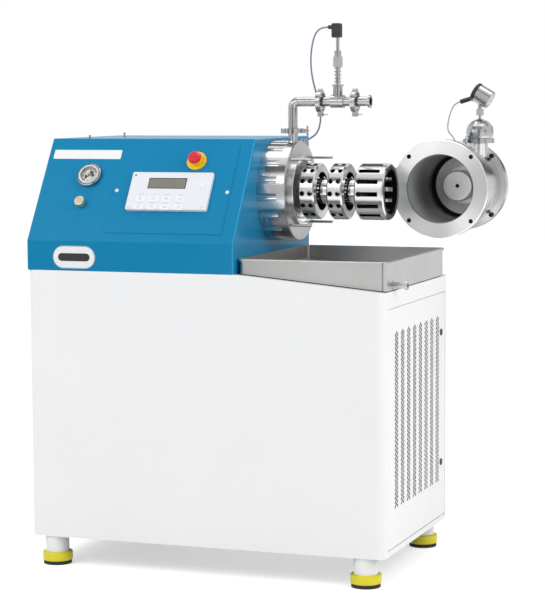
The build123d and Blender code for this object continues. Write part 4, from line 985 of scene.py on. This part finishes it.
def crispRims(mesh):
    # An edge with one face beside it is a hole's rim. It stays crisp when the sheet gets its thickness.
    uses = [0] * len(mesh.edges)
    for corner in mesh.loops:
        uses[corner.edge_index] += 1
    for edge in mesh.edges:
        if uses[edge.index] == 1:
            edge.use_edge_sharp = True


def foldSteps(radius, count=5):
    # How far in from the edge, and how far down from the face, a folded edge lies. It ends in a
    # narrow flat strip, so that the fold's soft shading stays at the fold.
    steps = []
    for step in range(count + 1):
        angle = math.radians(90 * step / count)
        steps.append((radius * (1 - math.cos(angle)), radius * (1 - math.sin(angle))))
    steps.append((radius + sideDoor["flatStrip"], 0.0))
    return steps


def doorSkinInto(build):
    # Folded edges, side walls, and the perforated face between them.
    door = sideDoor
    wide = foldSteps(door["hingeEdge"])
    narrow = foldSteps(door["fold"])
    yLines = [(door["front"] + inset, drop) for inset, drop in wide]
    yLines += [(door["back"] - inset, drop) for inset, drop in reversed(narrow)]
    zLines = [(door["bottom"] + inset, drop) for inset, drop in narrow]
    zLines += [(door["top"] - inset, drop) for inset, drop in reversed(narrow)]
    grid = []
    for y, yDrop in yLines:
        grid.append([build.verts.new(place(door["face"] - max(yDrop, zDrop), y, z)) for z, zDrop in zLines])
    middleY = len(wide) - 1
    middleZ = len(narrow) - 1
    for i in range(len(yLines) - 1):
        for j in range(len(zLines) - 1):
            if (i, j) != (middleY, middleZ):
                build.faces.new((grid[i][j], grid[i + 1][j], grid[i + 1][j + 1], grid[i][j + 1]))
    rim = [line[0] for line in grid] + grid[-1][1:]
    rim += [line[-1] for line in reversed(grid[:-1])] + list(reversed(grid[0][1:-1]))
    back = place(door["face"] - door["depth"], 0, 0).x
    lower = [build.verts.new((back, vertex.co.y, vertex.co.z)) for vertex in rim]
    for step in range(len(rim)):
        after = (step + 1) % len(rim)
        build.faces.new((rim[step], rim[after], lower[after], lower[step]))
    near, far = yLines[middleY][0], yLines[middleY + 1][0]
    low, high = zLines[middleZ][0], zLines[middleZ + 1][0]
    corners = [(near, low), (far, low), (far, high), (near, high)]
    perforatedInto(build, corners, doorHoles(), door["face"])
    bmesh.ops.remove_doubles(build, verts=build.verts, dist=1e-6)


def addSideDoor():
    build = bmesh.new()
    doorSkinInto(build)
    mesh = meshFrom("side_door_sheet", build, 35)
    crispRims(mesh)
    if sum(face.normal.x * face.area for face in mesh.polygons) < 0:
        mesh.flip_normals()
    sheet = addPiece("side_door_sheet", mesh, whiteCoat, "door")
    solidify = sheet.modifiers.new("sheet thickness", "SOLIDIFY")
    solidify.thickness = sideDoor["sheet"] * millimetre
    solidify.offset = -1
    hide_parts("side_door")


def addDoorPins():
    pin = doorPins
    build = bmesh.new()
    radius, chamfer, length = pin["radius"], pin["chamfer"], pin["out"] + pin["in"]
    profile = [(0, 0), (radius - chamfer, 0), (radius, chamfer), (radius, length - chamfer),
               (radius - chamfer, length), (0, length)]
    for foot in (sideDoor["bottom"] - pin["out"], sideDoor["top"] - pin["in"]):
        latheInto(build, profile, frameAt((*pin["at"], foot), (0, 0, 1)), 20)
    addBuilt("side_door_pins", build, boltSteel, "door")


addSideDoor()
addDoorPins()
print("side door perforated")


# Stage and light, whose places and sizes are metres in the frame

studio = {
    "floorReach": 14.0,
    "floorLevel": -0.0005,
    "floorColour": "#f4f4f4",
    "floorGlow": 0.55,           # added for the camera and for reflections, so that the floor reads as white
    "cardColour": "#242424",
    "roughness": 0.9,
    "worldStrength": 0.6,
    "worldTint": (0.97, 0.98, 1, 1),
}


def seenDirectly(tree):
    # One for rays from the camera, off gloss and through glass, so that metal shows the white studio too.
    path = addNode(tree, "ShaderNodeLightPath")
    first = maths(tree, "MAXIMUM", path.outputs["Is Camera Ray"], path.outputs["Is Glossy Ray"])
    return maths(tree, "MAXIMUM", first, path.outputs["Is Transmission Ray"])


def addStage():
    build = bmesh.new()
    reach, level = studio["floorReach"], studio["floorLevel"]
    corners = ((-reach, -reach), (reach, -reach), (reach, reach), (-reach, reach))
    build.faces.new([build.verts.new((x, y, level)) for x, y in corners])
    floor = newObject("floor", meshFrom("floor", build))
    material, tree, shader = newMaterial("studio floor white", {
        "Base Color": toLinear(studio["floorColour"]),
        "Roughness": studio["roughness"],
        "Specular IOR Level": 0.0,
        "Emission Color": (1, 1, 1, 1),
    })
    glow = maths(tree, "MULTIPLY", seenDirectly(tree), studio["floorGlow"])
    tree.links.new(glow, shader.inputs["Emission Strength"])
    floor.data.materials.append(material)


# Black cards stand round the mill and show only in its gloss, so that polished steel has dark bands to
# mirror, as in a light tent with gaps.
cards = {
    "card_over_front": {"centre": (0.4, -1.9, 3.3), "size": (3.4, 0.45), "toward": (0, 0, 1.1)},
    "card_over_back": {"centre": (0.2, 1.6, 3.2), "size": (5.0, 0.6), "toward": (0, 0, 1.1)},
    "card_over_hood": {"centre": (-1.7, -1.8, 3.3), "size": (2.4, 1.7), "toward": (-0.3, -0.2, 1.0)},
    "card_front_left": {"centre": (-1.75, -3.1, 1.15), "size": (1.4, 2.1), "toward": (-1.6, 0, 1.15)},
    "card_front_right": {"centre": (0.9, -3.2, 1.15), "size": (1.4, 2.1), "toward": (0.9, 0, 1.15)},
    "card_back_high": {"centre": (1.2, 3.2, 1.75), "size": (4.6, 0.5), "toward": (1.2, 0, 1.75)},
    "card_back_low": {"centre": (0.0, 3.2, 0.4), "size": (2.1, 0.45), "toward": (0, 0, 0.4)},
    "card_side_left": {"centre": (-3.4, -1.6, 1.7), "size": (0.5, 2.4), "toward": (0.1, 0, 1.3)},
    "card_side_right": {"centre": (3.6, -1.2, 1.7), "size": (0.5, 2.4), "toward": (0.1, 0, 1.3)},
}


def addCards():
    black = {"Base Color": toLinear(studio["cardColour"]), "Roughness": studio["roughness"]}
    material = newMaterial("studio card black", black)[0]
    for name, card in cards.items():
        build = bmesh.new()
        build.faces.new([build.verts.new((x, y, 0)) for x, y in bar(0, 0, *card["size"])])
        board = newObject(name, meshFrom(name, build))
        board.data.materials.append(material)
        centre = Vector(card["centre"])
        board.rotation_mode = "QUATERNION"
        board.rotation_quaternion = (Vector(card["toward"]) - centre).to_track_quat("Z", "Y")
        board.location = centre
        board.visible_camera = False
        board.visible_diffuse = False
        board.visible_shadow = False
        board.visible_transmission = False


# Reflections leave the side lamp out, which would burn out the turned steel.
lamps = {
    "key": {"spot": (-2.2, -3.2, 3.2), "target": (0, 0, 0.9), "size": (2.4, 2.4), "watts": 70, "gloss": True},
    "side": {"spot": (3.4, -1.2, 2.4), "target": (0.3, 0, 0.9), "size": (1.8, 2.6), "watts": 59, "gloss": False},
    "top": {"spot": (0.2, 0.4, 4.2), "target": (0.2, 0, 1), "size": (3.0, 1.6), "watts": 35, "gloss": True},
}


def addLamps():
    for name, lamp in lamps.items():
        data = bpy.data.lights.new(name, "AREA")
        data.shape = "RECTANGLE"
        data.size, data.size_y = lamp["size"]
        data.energy = lamp["watts"]
        light = newObject(name, data)
        light.location = lamp["spot"]
        light.rotation_mode = "QUATERNION"
        light.rotation_quaternion = (Vector(lamp["target"]) - Vector(lamp["spot"])).to_track_quat("-Z", "Y")
        light.visible_glossy = lamp["gloss"]


def addWorld():
    world = bpy.data.worlds.new("studio")
    bpy.context.scene.world = world
    world.use_nodes = True
    tree = world.node_tree
    tree.nodes.clear()
    seen = addNode(tree, "ShaderNodeBackground", {"Color": (1, 1, 1, 1), "Strength": 1.0})
    light = addNode(tree, "ShaderNodeBackground", {"Color": studio["worldTint"],
                                                   "Strength": studio["worldStrength"]})
    mix = addNode(tree, "ShaderNodeMixShader")
    tree.links.new(seenDirectly(tree), mix.inputs[0])
    tree.links.new(light.outputs[0], mix.inputs[1])
    tree.links.new(seen.outputs[0], mix.inputs[2])
    output = addNode(tree, "ShaderNodeOutputWorld")
    tree.links.new(mix.outputs[0], output.inputs[0])


addStage()
addCards()
addWorld()
addLamps()
bpy.context.scene.view_settings.view_transform = "Standard"
print("stage lit")
